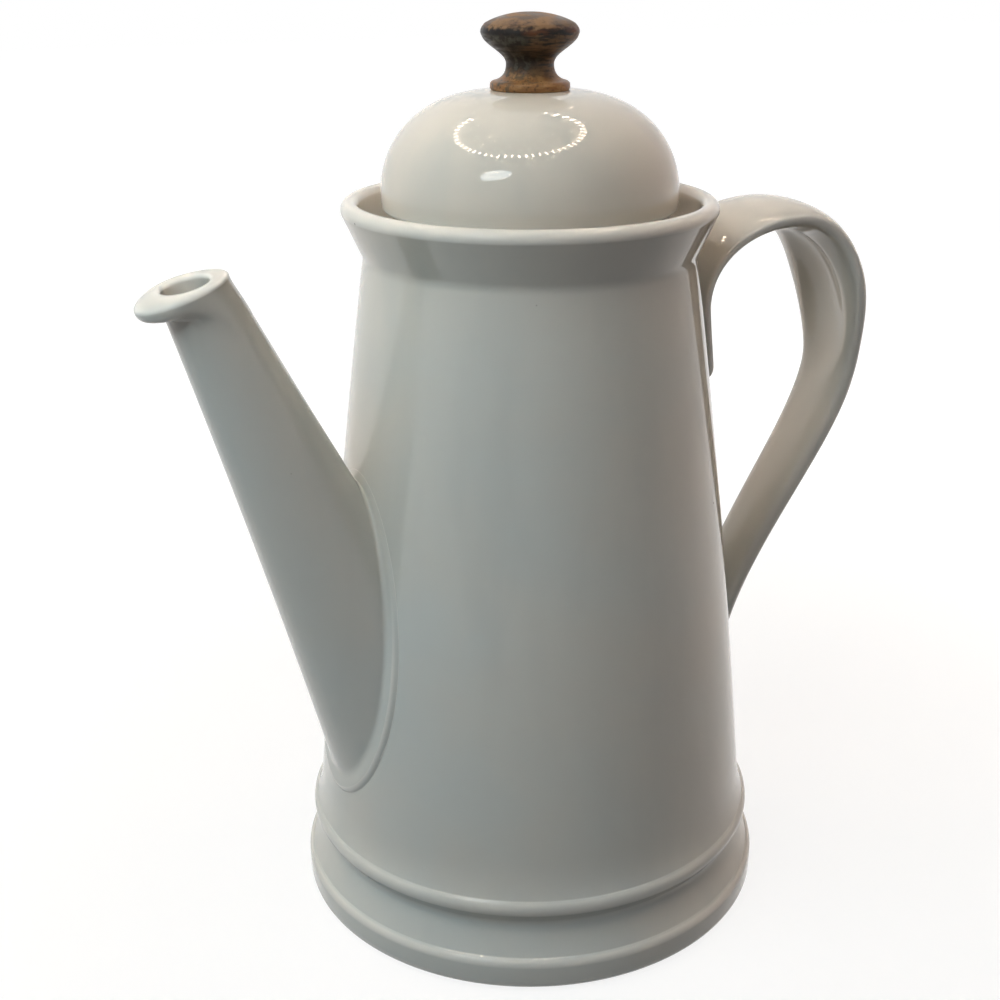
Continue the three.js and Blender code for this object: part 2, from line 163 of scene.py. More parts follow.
def pulled(start: np.ndarray, first: np.ndarray, last: np.ndarray, end: np.ndarray, t: float) -> np.ndarray:
    """Gives the ring at a share t of the way from start to end, pulled on its way by first and last."""
    return start * (1 - t) ** 3 + first * 3 * t * (1 - t) ** 2 + last * 3 * t * t * (1 - t) + end * t**3


def ease(x: float | np.ndarray, low: float, high: float) -> float | np.ndarray:
    """Goes smoothly from 0 at low to 1 at high."""
    t = np.clip((x - low) / (high - low), 0.0, 1.0)
    return t * t * (3 - 2 * t)


# Meshes


def mesh_object(name: str, mesh: Mesh) -> Piece:
    """Makes an object of a mesh and links it to the scene.

    Args:
        name: Name of the new object.
        mesh: Its mesh.

    Returns:
        The mesh object.
    """
    piece = bpy.data.objects.new(name, mesh)
    bpy.context.scene.collection.objects.link(piece)
    return piece


def polyline(name: str, points: np.ndarray) -> Piece:
    """Makes a wire mesh.

    Args:
        name: Name of the new object.
        points: Its vertices in order, in metres.

    Returns:
        The mesh object.
    """
    mesh = bpy.data.meshes.new(name)
    edges = [(i, i + 1) for i in range(len(points) - 1)]
    mesh.from_pydata([tuple(p) for p in points], edges, [])
    return mesh_object(name, mesh)


def give_values(piece: Piece, values: dict[str, np.ndarray]) -> None:
    """Writes named values to a mesh's points.

    Args:
        piece: The mesh object.
        values: One number or one vector a point, by name.
    """
    for name, rows in values.items():
        rows = np.asarray(rows, float)
        kind, key = ("FLOAT_VECTOR", "vector") if rows.ndim == 2 else ("FLOAT", "value")
        piece.data.attributes.new(name, kind, "POINT").data.foreach_set(key, rows.astype(np.float32).ravel())


def tidy_mesh(mesh: Mesh, crease: float = 38.0, double: float = 1e-6) -> None:
    """Merges doubles, points the faces outwards and smooths all but the sharp edges.

    Args:
        mesh: A closed mesh.
        crease: Edges that turn more than this many degrees stay sharp.
        double: Points nearer than this, in metres, are one.
    """
    shape = bmesh.new()
    shape.from_mesh(mesh)
    bmesh.ops.remove_doubles(shape, verts=shape.verts, dist=double)
    bmesh.ops.dissolve_degenerate(shape, edges=shape.edges, dist=double / 10)
    bmesh.ops.recalc_face_normals(shape, faces=shape.faces)
    if shape.calc_volume(signed=True) < 0:
        bmesh.ops.reverse_faces(shape, faces=shape.faces)
    shape.to_mesh(mesh)
    shape.free()
    mesh.shade_smooth()
    mesh.set_sharp_from_angle(angle=math.radians(crease))


def skin(name: str, grid: np.ndarray) -> Piece:
    """Covers a grid of points that is closed in both directions.

    Args:
        name: Name of the new object.
        grid: Points in millimetres, shaped rings x turns x 3.

    Returns:
        The mesh object.
    """
    rings, turns = grid.shape[:2]
    quads = []
    for i in range(rings):
        here, after = i * turns, ((i + 1) % rings) * turns
        quads += [(here + j, after + j, after + (j + 1) % turns, here + (j + 1) % turns) for j in range(turns)]
    mesh = bpy.data.meshes.new(name)
    mesh.from_pydata([tuple(p) for p in grid.reshape(-1, 3) * MM], [], quads)
    tidy_mesh(mesh)
    return mesh_object(name, mesh)


def plain_mesh(piece: Piece) -> Mesh:
    """Gives an object's evaluated shape as a mesh without modifiers."""
    graph = bpy.context.evaluated_depsgraph_get()
    return bpy.data.meshes.new_from_object(piece.evaluated_get(graph), preserve_all_data_layers=True, depsgraph=graph)


def bmesh_object(name: str, shape: bmesh.types.BMesh) -> Piece:
    """Makes an object of a shape that was put together face by face.

    Args:
        name: Name of the new object.
        shape: The shape, which is freed.

    Returns:
        The mesh object.
    """
    mesh = bpy.data.meshes.new(name)
    shape.to_mesh(mesh)
    shape.free()
    return mesh_object(name, mesh)


def carve(piece: Piece, tool: Piece) -> None:
    """Takes one solid away from another, then removes the tool.

    Args:
        piece: The mesh object that is cut.
        tool: The mesh object whose space is taken away.
    """
    cut = piece.modifiers.new("Carve", "BOOLEAN")
    cut.operation = "DIFFERENCE"
    cut.solver = "EXACT"
    cut.object = tool
    result = plain_mesh(piece)
    piece.modifiers.remove(cut)
    piece.data = result
    tidy_mesh(piece.data)
    bpy.data.objects.remove(tool)


# Node trees


class NodeGraph:
    """A node tree in the making."""

    def __init__(self, tree: bpy.types.NodeTree) -> None:
        """Takes the tree that the nodes go into."""
        self.tree = tree

    def feed(self, socket: Socket, value: object) -> None:
        """Links an input to a socket or sets its value.

        Args:
            socket: The input.
            value: A socket, a number, a vector, or a colour without its alpha.
        """
        if isinstance(value, Socket):
            self.tree.links.new(value, socket)
        else:
            socket.default_value = (*value, 1.0) if socket.type == "RGBA" else value

    def node(self, kind: str, wires: Wires, **settings: object) -> bpy.types.Node:
        """Adds a node.

        Args:
            kind: The node's type.
            wires: A socket to link or a value to set, by input name or number.
            **settings: The node's own properties.

        Returns:
            The node.
        """
        made = self.tree.nodes.new(kind)
        for key, value in settings.items():
            setattr(made, key, value)
        for key, value in wires.items():
            self.feed(made.inputs[key], value)
        return made

    def math(self, operation: str, *values: object) -> Socket:
        """Adds a Math node and gives its result."""
        return self.node("ShaderNodeMath", dict(enumerate(values)), operation=operation).outputs[0]

    def minus(self, first: object, second: object) -> Socket:
        """Subtracts the second number from the first."""
        return self.math("SUBTRACT", first, second)

    def over(self, first: object, second: object) -> Socket:
        """Divides the first number by the second."""
        return self.math("DIVIDE", first, second)

    def times(self, first: object, second: object) -> Socket:
        """Multiplies two numbers."""
        return self.math("MULTIPLY", first, second)

    def plus(self, first: object, second: object) -> Socket:
        """Adds two numbers."""
        return self.math("ADD", first, second)

    def vector_math(self, operation: str, *values: object) -> Socket:
        """Adds a Vector Math node and gives its vector."""
        return self.node("ShaderNodeVectorMath", dict(enumerate(values)), operation=operation).outputs[0]

    def split(self, vector: Socket) -> list[Socket]:
        """Gives the three parts of a vector."""
        return list(self.node("ShaderNodeSeparateXYZ", {0: vector}).outputs)

    def joined(self, x: object, y: object, z: object) -> Socket:
        """Makes a vector of three numbers."""
        return self.node("ShaderNodeCombineXYZ", {0: x, 1: y, 2: z}).outputs[0]

    def band(self, value: Socket, span: Span, start: float = 0.0, end: float = 1.0) -> Socket:
        """Maps a value smoothly from a span onto start to end, and no further."""
        wires = {"Value": value, "From Min": span[0], "From Max": span[1], "To Min": start, "To Max": end}
        return self.node("ShaderNodeMapRange", wires, interpolation_type="SMOOTHSTEP").outputs[0]


class ShapeTree(NodeGraph):
    """A Geometry Nodes tree in the making, with named inputs. Seams close within weld, in metres."""

    weld = 2e-6

    def __init__(self, name: str) -> None:
        """Starts a tree that takes and gives a shape.

        Args:
            name: Name of the tree.
        """
        super().__init__(bpy.data.node_groups.new(name, "GeometryNodeTree"))
        self.sockets: dict[str, str] = {}
        self._socket("Shape", "NodeSocketGeometry")
        self.tree.interface.new_socket("Shape", in_out="OUTPUT", socket_type="NodeSocketGeometry")
        self.inputs = self.tree.nodes.new("NodeGroupInput")
        self.output = self.tree.nodes.new("NodeGroupOutput")

    def _socket(self, name: str, kind: str) -> None:
        """Adds an input and remembers its identifier."""
        made = self.tree.interface.new_socket(name, in_out="INPUT", socket_type=kind)
        self.sockets[name] = made.identifier

    def given(self, name: str, kind: str) -> Socket:
        """Adds an input of a kind: Int, Float or Material."""
        self._socket(name, "NodeSocket" + kind)
        return self.inputs.outputs[name]

    def guide_points(self) -> Socket:
        """Gives the number of points on the guide line."""
        wires = {"Geometry": self.inputs.outputs["Shape"]}
        return self.node("GeometryNodeAttributeDomainSize", wires, component="MESH").outputs["Point Count"]

    def grid(self, rows: object, across: object) -> tuple[Socket, ...]:
        """Adds a flat grid, to be bent into a shape.

        Args:
            rows: Number of vertices along the profile or path.
            across: Number of vertices round it.

        Returns:
            The grid, each vertex's place along, and its place round.
        """
        flat = self.node("GeometryNodeMeshGrid", {"Vertices X": across, "Vertices Y": rows})
        index = self.node("GeometryNodeInputIndex", {}).outputs[0]
        around = self.math("FLOOR", self.over(self.plus(index, 0.5), rows))
        along = self.minus(index, self.times(around, rows))
        return flat.outputs["Mesh"], along, around

    def sampled(self, value: Socket, at: Socket, kind: str) -> Socket:
        """Reads a value of the input shape at a vertex number."""
        wires = {"Geometry": self.inputs.outputs["Shape"], "Index": at, "Value": value}
        return self.node("GeometryNodeSampleIndex", wires, data_type=kind, domain="POINT").outputs[0]

    def named(self, name: str, kind: str) -> Socket:
        """Reads a named value of the points."""
        return self.node("GeometryNodeInputNamedAttribute", {"Name": name}, data_type=kind).outputs[0]

    def close(self, flat: Socket, places: Socket, finish: Socket) -> None:
        """Bends the grid to its places, closes its seam and gives it its material.

        Args:
            flat: The grid.
            places: Where each of its vertices goes.
            finish: The material.
        """
        bent = self.node("GeometryNodeSetPosition", {"Geometry": flat, "Position": places})
        welded = self.node("GeometryNodeMergeByDistance", {"Geometry": bent.outputs[0], "Distance": self.weld})
        real = self.node("GeometryNodeRealizeInstances", {"Geometry": welded.outputs[0]})
        dressed = self.node("GeometryNodeSetMaterial", {"Geometry": real.outputs[0], "Material": finish})
        self.feed(self.output.inputs[0], dressed.outputs[0])

    def shape(self, guide: Piece, **values: object) -> Mesh:
        """Runs the tree on a guide line and gives the result as a plain mesh.

        Args:
            guide: The wire mesh that the tree reads. It is removed.
            **values: The inputs, by name, with spaces written as underscores.

        Returns:
            A closed mesh.
        """
        run = guide.modifiers.new(self.tree.name, "NODES")
        run.node_group = self.tree
        for name, value in values.items():
            run[self.sockets[name.replace("_", " ")]] = value
        mesh = plain_mesh(guide)
        guide.modifiers.remove(run)
        bpy.data.objects.remove(guide)
        tidy_mesh(mesh)
        return mesh


class Lathe:
    """Turns a profile about the Z axis."""

    def __init__(self) -> None:
        """Builds the tree: every grid row is one profile point, swung round the axis."""
        tree = ShapeTree("Turned piece")
        facets = tree.given("Facets", "Int")
        finish = tree.given("Finish", "Material")
        flat, along, around = tree.grid(tree.guide_points(), tree.plus(facets, 1.0))
        here = tree.node("GeometryNodeInputPosition", {}).outputs[0]
        radius, _, height = tree.split(tree.sampled(here, along, "FLOAT_VECTOR"))
        turn = tree.over(tree.times(around, math.tau), facets)
        across, aside = (tree.times(radius, tree.math(part, turn)) for part in ("COSINE", "SINE"))
        tree.close(flat, tree.joined(across, aside, height), finish)
        self.tree = tree

    def turn(
        self, name: str, profile: Profile, corner: float, facets: int, finish: Finish | None, lift: float = 0.0
    ) -> Piece:
        """Turns one piece.

        Args:
            name: Name of the piece.
            profile: Radius and height of each point, in millimetres.
            corner: Distance from a sharp corner at which its rounding starts.
            facets: Number of facets round the axis.
            finish: The piece's material.
            lift: How far the profile is raised.

        Returns:
            The piece.
        """
        points = [(r * MM, 0.0, (z + lift) * MM) for r, z in softened(profile, corner)]
        guide = polyline(name + "_profile", np.array(points))
        return mesh_object(name, self.tree.shape(guide, Facets=facets, Finish=finish))


class StrapPress:
    """Draws a strap along a line: rounded outside, flatter inside, with a dished thumb hollow.

    Both ends of a section count as inside up to the sine in seam, so that its seam closes. The values named in
    halves are lengths, and nothing at the strap's two ends.
    """

    seam = 1e-4
    halves = ("half_width", "outer_half", "inner_half")

    def __init__(self) -> None:
        """Builds the tree: every grid row is one station's rounded section."""
        tree = ShapeTree("Drawn strap")
        facets = tree.given("Facets", "Int")
        outer_fullness, inner_fullness, hollow_depth, hollow_half_width, hollow_edge = (
            tree.given(name, "Float")
            for name in ("Outer fullness", "Inner fullness", "Hollow depth", "Hollow half width", "Hollow edge")
        )
        finish = tree.given("Finish", "Material")
        flat, along, around = tree.grid(tree.guide_points(), tree.plus(facets, 1.0))
        middle = tree.sampled(tree.node("GeometryNodeInputPosition", {}).outputs[0], along, "FLOAT_VECTOR")
        outward = tree.sampled(tree.named("outward", "FLOAT_VECTOR"), along, "FLOAT_VECTOR")
        half_width, outer_half, inner_half, within = (
            tree.sampled(tree.named(name, "FLOAT"), along, "FLOAT")
            for name in (*self.halves, "within")
        )
        turn = tree.over(tree.times(around, math.tau), facets)
        cosine, sine = tree.math("COSINE", turn), tree.math("SINE", turn)
        outside = tree.math("GREATER_THAN", sine, self.seam)
        inside = tree.minus(1.0, outside)
        fullness = tree.plus(tree.times(outside, outer_fullness), tree.times(inside, inner_fullness))
        power = tree.over(2.0, fullness)
        widened = tree.math("POWER", tree.math("ABSOLUTE", cosine), power)
        sideways = tree.times(tree.times(tree.math("SIGN", cosine), widened), half_width)
        rounded = tree.math("POWER", tree.math("ABSOLUTE", sine), power)
        aside = tree.over(sideways, hollow_half_width)
        dish = tree.minus(within, tree.times(aside, aside))
        rolled = tree.math("SQRT", tree.plus(tree.times(dish, dish), tree.times(hollow_edge, hollow_edge)))
        hollow = tree.times(tree.times(0.5, tree.plus(dish, rolled)), hollow_depth)
        dished = tree.minus(hollow, tree.times(inner_half, rounded))
        depth = tree.plus(tree.times(outside, tree.times(outer_half, rounded)), tree.times(inside, dished))
        lifted = tree.node("ShaderNodeVectorMath", {0: outward, "Scale": depth}, operation="SCALE").outputs[0]
        placed = tree.vector_math("ADD", middle, lifted)
        tree.close(flat, tree.vector_math("ADD", placed, tree.joined(0.0, sideways, 0.0)), finish)
        self.tree = tree

    def draw(self, name: str, line: np.ndarray, sizes: dict[str, np.ndarray], **inputs: object) -> Piece:
        """Draws one strap.

        Args:
            name: Name of the piece.
            line: The strap's middle line, in millimetres.
            sizes: Each station's outward direction, half width, halves of its thickness, and how far
                within the hollow's length it lies.
            **inputs: The tree's own inputs, with lengths in metres.

        Returns:
            The piece.
        """
        guide = polyline(name + "_line", line * MM)
        give_values(guide, {key: rows * MM if key in self.halves else rows for key, rows in sizes.items()})
        return mesh_object(name, self.tree.shape(guide, **inputs))


# Finishes


class FinishTree(NodeGraph):
    """A material's nodes in the making.

    Most of a noise lies within the span usual, and its middle within middling. Rings step outwards by
    outward_share of what they step up.
    """

    outward_share = 0.6
    middling: Span = (0.35, 0.65)
    usual: Span = (0.3, 0.7)

    def __init__(self, name: str) -> None:
        """Starts a material that reads Object coordinates.

        Args:
            name: Name of the material.
        """
        self.material = bpy.data.materials.new(name)
        self.material.use_nodes = True
        super().__init__(self.material.node_tree)
        self.shader = self.tree.nodes["Principled BSDF"]
        self.place = self.node("ShaderNodeTexCoord", {}).outputs["Object"]

    def stretched(self, scale: tuple[float, float, float]) -> Socket:
        """Gives the place, stretched along the axes."""
        return self.node("ShaderNodeMapping", {"Vector": self.place, "Scale": scale}).outputs[0]

    def noise(self, scale: float, detail: float = 3.0, place: Socket | None = None) -> Socket:
        """Adds smooth noise with so many waves a metre."""
        wires = {"Vector": place or self.place, "Scale": scale, "Detail": detail}
        return self.node("ShaderNodeTexNoise", wires).outputs[0]

    def wander(self, noise: Socket, most: float) -> Socket:
        """Makes noise a number to either side of zero."""
        return self.times(self.minus(noise, 0.5), most)

    def ringed(self, along: float, across: float) -> Socket:
        """Gives a place for noise that runs in long streaks round the Z axis.

        Args:
            along: Waves a metre round the axis.
            across: Waves a metre up and outwards.

        Returns:
            The stretched place.
        """
        x, y, z = self.split(self.place)
        out = self.math("SQRT", self.plus(self.times(x, x), self.times(y, y)))
        level = self.times(self.plus(z, self.times(out, self.outward_share)), across)
        return self.joined(self.times(x, along), self.times(y, along), level)

    def blend(self, share: Socket, first: object, second: object) -> Socket:
        """Mixes two colours.

        Args:
            share: How much of the second shows.
            first: A colour or a socket.
            second: A colour or a socket.

        Returns:
            The mixed colour.
        """
        made = self.node("ShaderNodeMix", {0: share}, data_type="RGBA")
        for key, value in (("A", first), ("B", second)):
            self.feed(next(s for s in made.inputs if s.name == key and s.type == "RGBA"), value)
        return next(s for s in made.outputs if s.type == "RGBA")

    def relief(self, height: Socket, depth: float, under: Socket | None = None) -> Socket:
        """Adds a bump.

        Args:
            height: How high the surface stands, from 0 to 1.
            depth: What 1 stands for, in metres.
            under: The bump that it lies over.

        Returns:
            The bumped normal.
        """
        wires: Wires = {"Height": height, "Distance": depth, "Strength": 1.0}
        if under is not None:
            wires["Normal"] = under
        return self.node("ShaderNodeBump", wires).outputs[0]

    def wear(self, **inputs: object) -> Finish:
        """Sets the shader's inputs.

        Args:
            **inputs: The inputs, by name, with spaces written as underscores.

        Returns:
            The material.
        """
        for name, value in inputs.items():
            self.feed(self.shader.inputs[name.replace("_", " ")], value)
        return self.material


@dataclass(frozen=True)
class StonewareGlaze:
    """Glossy off-white glaze over pale stoneware, bare on the ring that the pot stands on. Painted warm light colours
    its upper part.
    """

    cool: Colour = (0.606, 0.632, 0.612)
    warm: Colour = (0.670, 0.630, 0.565)
    run: Colour = (0.505, 0.532, 0.515)
    thin_glaze_and_highlight: Colour = (0.860, 0.842, 0.800)
    speck: Colour = (0.160, 0.130, 0.100)
    bare: Colour = (0.480, 0.420, 0.340)
    gloss: float = 0.028
    gloss_least: float = 0.8
    gloss_most: float = 1.3
    index: float = 1.5
    mottle_waves: float = 22.0
    mottle_most: float = 0.4
    painted_top_light: Span = (0.150, 0.225)
    run_stretch: tuple[float, float, float] = (1.0, 1.0, 0.22)
    run_span: Span = (0.48, 0.72)
    run_most: float = 0.30
    crest_span: Span = (0.508, 0.519)
    crest_most: float = 0.8
    speck_waves: float = 190.0
    speck_edge: Span = (0.03, 0.085)
    speck_rarity: float = 0.990
    foot_span: Span = (0.0002, 0.0009)
    foot_roughness: float = 0.75
    ripple_waves: float = 55.0
    ripple_depth: float = 0.00006
    peel_waves: float = 420.0
    peel_depth: float = 0.000006

    def material(self) -> Finish:
        """Builds the material: mottled and run glaze, warmed towards the top by painted light, pale on the crests as
        thin glaze and as painted highlight, specked, and none under the foot.

        Returns:
            The material.
        """
        tree = FinishTree("Stoneware glaze")
        height = tree.split(tree.place)[2]
        mottle_and_top_light = tree.band(tree.noise(self.mottle_waves, 2.0), tree.middling, 0.0, self.mottle_most)
        # Painted light: the glaze turns to the warm colour with height, fully from 225 mm up, standing in for the
        # warm light that falls from above on the rim and the lid.
        mottle_and_top_light = tree.math("MAXIMUM", mottle_and_top_light, tree.band(height, self.painted_top_light))
        colour = tree.blend(mottle_and_top_light, self.cool, self.warm)
        runs = tree.noise(self.mottle_waves * 2, 3.0, tree.stretched(self.run_stretch))
        colour = tree.blend(tree.band(runs, self.run_span, 0.0, self.run_most), colour, self.run)
        # Partly painted highlight: convex crests such as the lip, bead and foot edge are paled, as thin glaze over
        # the pale body and as a painted highlight along them.
        crest = tree.node("ShaderNodeNewGeometry", {}).outputs["Pointiness"]
        colour = tree.blend(tree.band(crest, self.crest_span, 0.0, self.crest_most), colour, self.thin_glaze_and_highlight)
        cells = tree.node("ShaderNodeTexVoronoi", {"Vector": tree.place, "Scale": self.speck_waves})
        near = tree.band(cells.outputs["Distance"], self.speck_edge, 1.0, 0.0)
        rare = tree.node("ShaderNodeSeparateColor", {0: cells.outputs["Color"]}).outputs[0]
        spots = tree.times(near, tree.math("GREATER_THAN", rare, self.speck_rarity))
        colour = tree.blend(spots, colour, self.speck)
        foot = tree.band(height, self.foot_span, 1.0, 0.0)
        colour = tree.blend(foot, colour, self.bare)
        least, most = self.gloss * self.gloss_least, self.gloss * self.gloss_most
        rough = tree.band(tree.noise(self.mottle_waves * 3, 3.0), tree.usual, least, most)
        rough = tree.math("MAXIMUM", rough, tree.times(foot, self.foot_roughness))
        ripple = tree.relief(tree.noise(self.ripple_waves, 1.0), self.ripple_depth)
        peel = tree.relief(tree.noise(self.peel_waves, 2.0), self.peel_depth, ripple)
        return tree.wear(Base_Color=colour, Roughness=rough, Normal=peel, IOR=self.index)


@dataclass(frozen=True)
class TurnedWood:
    """Turned hardwood: tawny where hands rub it, nearly black under the crown's edge, smeared dark in the waist."""

    foot_height: float
    crown: Colour = (0.078, 0.045, 0.028)
    crown_worn: Colour = (0.225, 0.128, 0.062)
    smear: Colour = (0.022, 0.013, 0.010)
    edge: Colour = (0.008, 0.006, 0.005)
    edge_worn: Colour = (0.100, 0.034, 0.012)
    waist: Colour = (0.024, 0.016, 0.011)
    waist_worn: Colour = (0.150, 0.086, 0.044)
    grime: Colour = (0.066, 0.058, 0.042)
    foot: Colour = (0.240, 0.112, 0.042)
    foot_worn: Colour = (0.360, 0.190, 0.080)
    clean_side: tuple[float, float] = (0.88, -0.48)
    clean_span: Span = (-0.006, 0.005)
    clean_wander: float = 0.040
    clean_lift: float = 0.05
    waist_from: Span = (0.0032, 0.0062)
    edge_from: Span = (0.0142, 0.0152)
    crown_from: Span = (0.0158, 0.0170)
    level_wander: float = 0.0035
    crown_wear: Span = (0.42, 0.62)
    edge_wear: Span = (0.42, 0.55)
    waist_wear: Span = (0.38, 0.56)
    foot_wear: Span = (0.42, 0.60)
    smear_span: Span = (0.46, 0.62)
    smear_least: float = 0.45
    smear_most: float = 0.95
    grime_span: Span = (0.46, 0.62)
    grit_span: Span = (0.54, 0.70)
    grit_most: float = 0.8
    pit_span: Span = (0.30, 0.45)
    pit_most: float = 0.55
    sheen: Span = (0.30, 0.55)
    specular: float = 0.20
    streak_waves: float = 420.0
    streak_fineness: float = 2.2
    streak_turns: float = 170.0
    band_turns: float = 70.0
    blotch_waves: float = 130.0
    grit_waves: float = 1100.0
    groove_depth: float = 0.00012
    grit_depth: float = 0.00006

    def material(self) -> Finish:
        """Builds the material: foot, waist, edge and crown, each worn on the clean side and dirty on the other.

        Returns:
            The material.
        """
        tree = FinishTree("Turned wood")
        x, y, z = tree.split(tree.place)
        blotch = tree.noise(self.blotch_waves, 5.0)
        fine = tree.noise(self.blotch_waves * 4, 6.0)
        grit = tree.noise(self.grit_waves, 4.0)
        streaks = tree.noise(1.0, 6.0, tree.ringed(self.streak_turns, self.streak_waves * self.streak_fineness))
        bands = tree.noise(1.0, 5.0, tree.ringed(self.band_turns, self.streak_waves))
        side = tree.plus(tree.times(x, self.clean_side[0]), tree.times(y, self.clean_side[1]))
        clean = tree.band(tree.plus(side, tree.wander(blotch, self.clean_wander)), self.clean_span)
        dirty = tree.minus(1.0, clean)
        level = tree.minus(z, self.foot_height)
        level = tree.plus(level, tree.wander(fine, self.level_wander))
        rubbed = tree.plus(streaks, tree.times(clean, self.clean_lift))
        crown = tree.blend(tree.band(rubbed, self.crown_wear), self.crown, self.crown_worn)
        spread = tree.band(dirty, (0.0, 1.0), self.smear_least, self.smear_most)
        crown = tree.blend(tree.times(tree.band(bands, self.smear_span), spread), crown, self.smear)
        edge = tree.blend(tree.times(clean, tree.band(bands, self.edge_wear)), self.edge, self.edge_worn)
        waist = tree.blend(tree.times(clean, tree.band(streaks, self.waist_wear)), self.waist, self.waist_worn)
        grimy = tree.times(dirty, tree.band(fine, self.grime_span))
        waist = tree.blend(grimy, waist, self.grime)
        foot = tree.blend(tree.band(streaks, self.foot_wear), self.foot, self.foot_worn)
        foot = tree.blend(grimy, foot, self.grime)
        gritty = tree.times(dirty, tree.band(grit, self.grit_span, 0.0, self.grit_most))
        colour = tree.blend(gritty, foot, self.smear)
        for start, finish in ((self.waist_from, waist), (self.edge_from, edge), (self.crown_from, crown)):
            colour = tree.blend(tree.band(level, start), colour, finish)
        colour = tree.blend(tree.band(grit, self.pit_span, self.pit_most, 0.0), colour, self.smear)
        rough = tree.band(streaks, tree.usual, *self.sheen)
        grooves = tree.relief(streaks, self.groove_depth)
        pores = tree.relief(grit, self.grit_depth, grooves)
        return tree.wear(Base_Color=colour, Roughness=rough, Normal=pores, Specular_IOR_Level=self.specular)


@dataclass(frozen=True)
class PressedFibre:
    """Matt red-brown fibre board."""

    pale: Colour = (0.290, 0.130, 0.085)
    dark: Colour = (0.150, 0.060, 0.040)
    fibre_waves: float = 1500.0
    fibre_stretch: tuple[float, float, float] = (1.0, 0.3, 1.0)
    fibre_depth: float = 0.00004
    roughness: float = 0.85

    def material(self) -> Finish:
        """Builds the material.

        Returns:
            The material.
        """
        tree = FinishTree("Pressed fibre")
        fibres = tree.noise(self.fibre_waves, 4.0, tree.stretched(self.fibre_stretch))
        colour = tree.blend(tree.band(fibres, tree.middling), self.dark, self.pale)
        relief = tree.relief(fibres, self.fibre_depth)
        return tree.wear(Base_Color=colour, Roughness=self.roughness, Normal=relief)


@dataclass(frozen=True)
class TurnedSteel:
    """Plain steel with fine turning rings."""

    bright: Colour = (0.600, 0.590, 0.570)
    dull: Colour = (0.380, 0.370, 0.350)
    stain_waves: float = 500.0
    ring_waves: float = 900.0
    ring_wobble: float = 1.0
    ring_depth: float = 0.000008
    sheen: Span = (0.28, 0.42)

    def material(self) -> Finish:
        """Builds the material.

        Returns:
            The material.
        """
        tree = FinishTree("Turned steel")
        stain = tree.noise(self.stain_waves, 3.0)
        wires = {"Vector": tree.place, "Scale": self.ring_waves, "Distortion": self.ring_wobble}
        rings = tree.node("ShaderNodeTexWave", wires, wave_type="RINGS", rings_direction="Z").outputs[1]
        colour = tree.blend(tree.band(stain, tree.middling), self.dull, self.bright)
        rough = tree.band(rings, (0.0, 1.0), *self.sheen)
        relief = tree.relief(rings, self.ring_depth)
        return tree.wear(Base_Color=colour, Roughness=rough, Metallic=1.0, Normal=relief)


# The pot


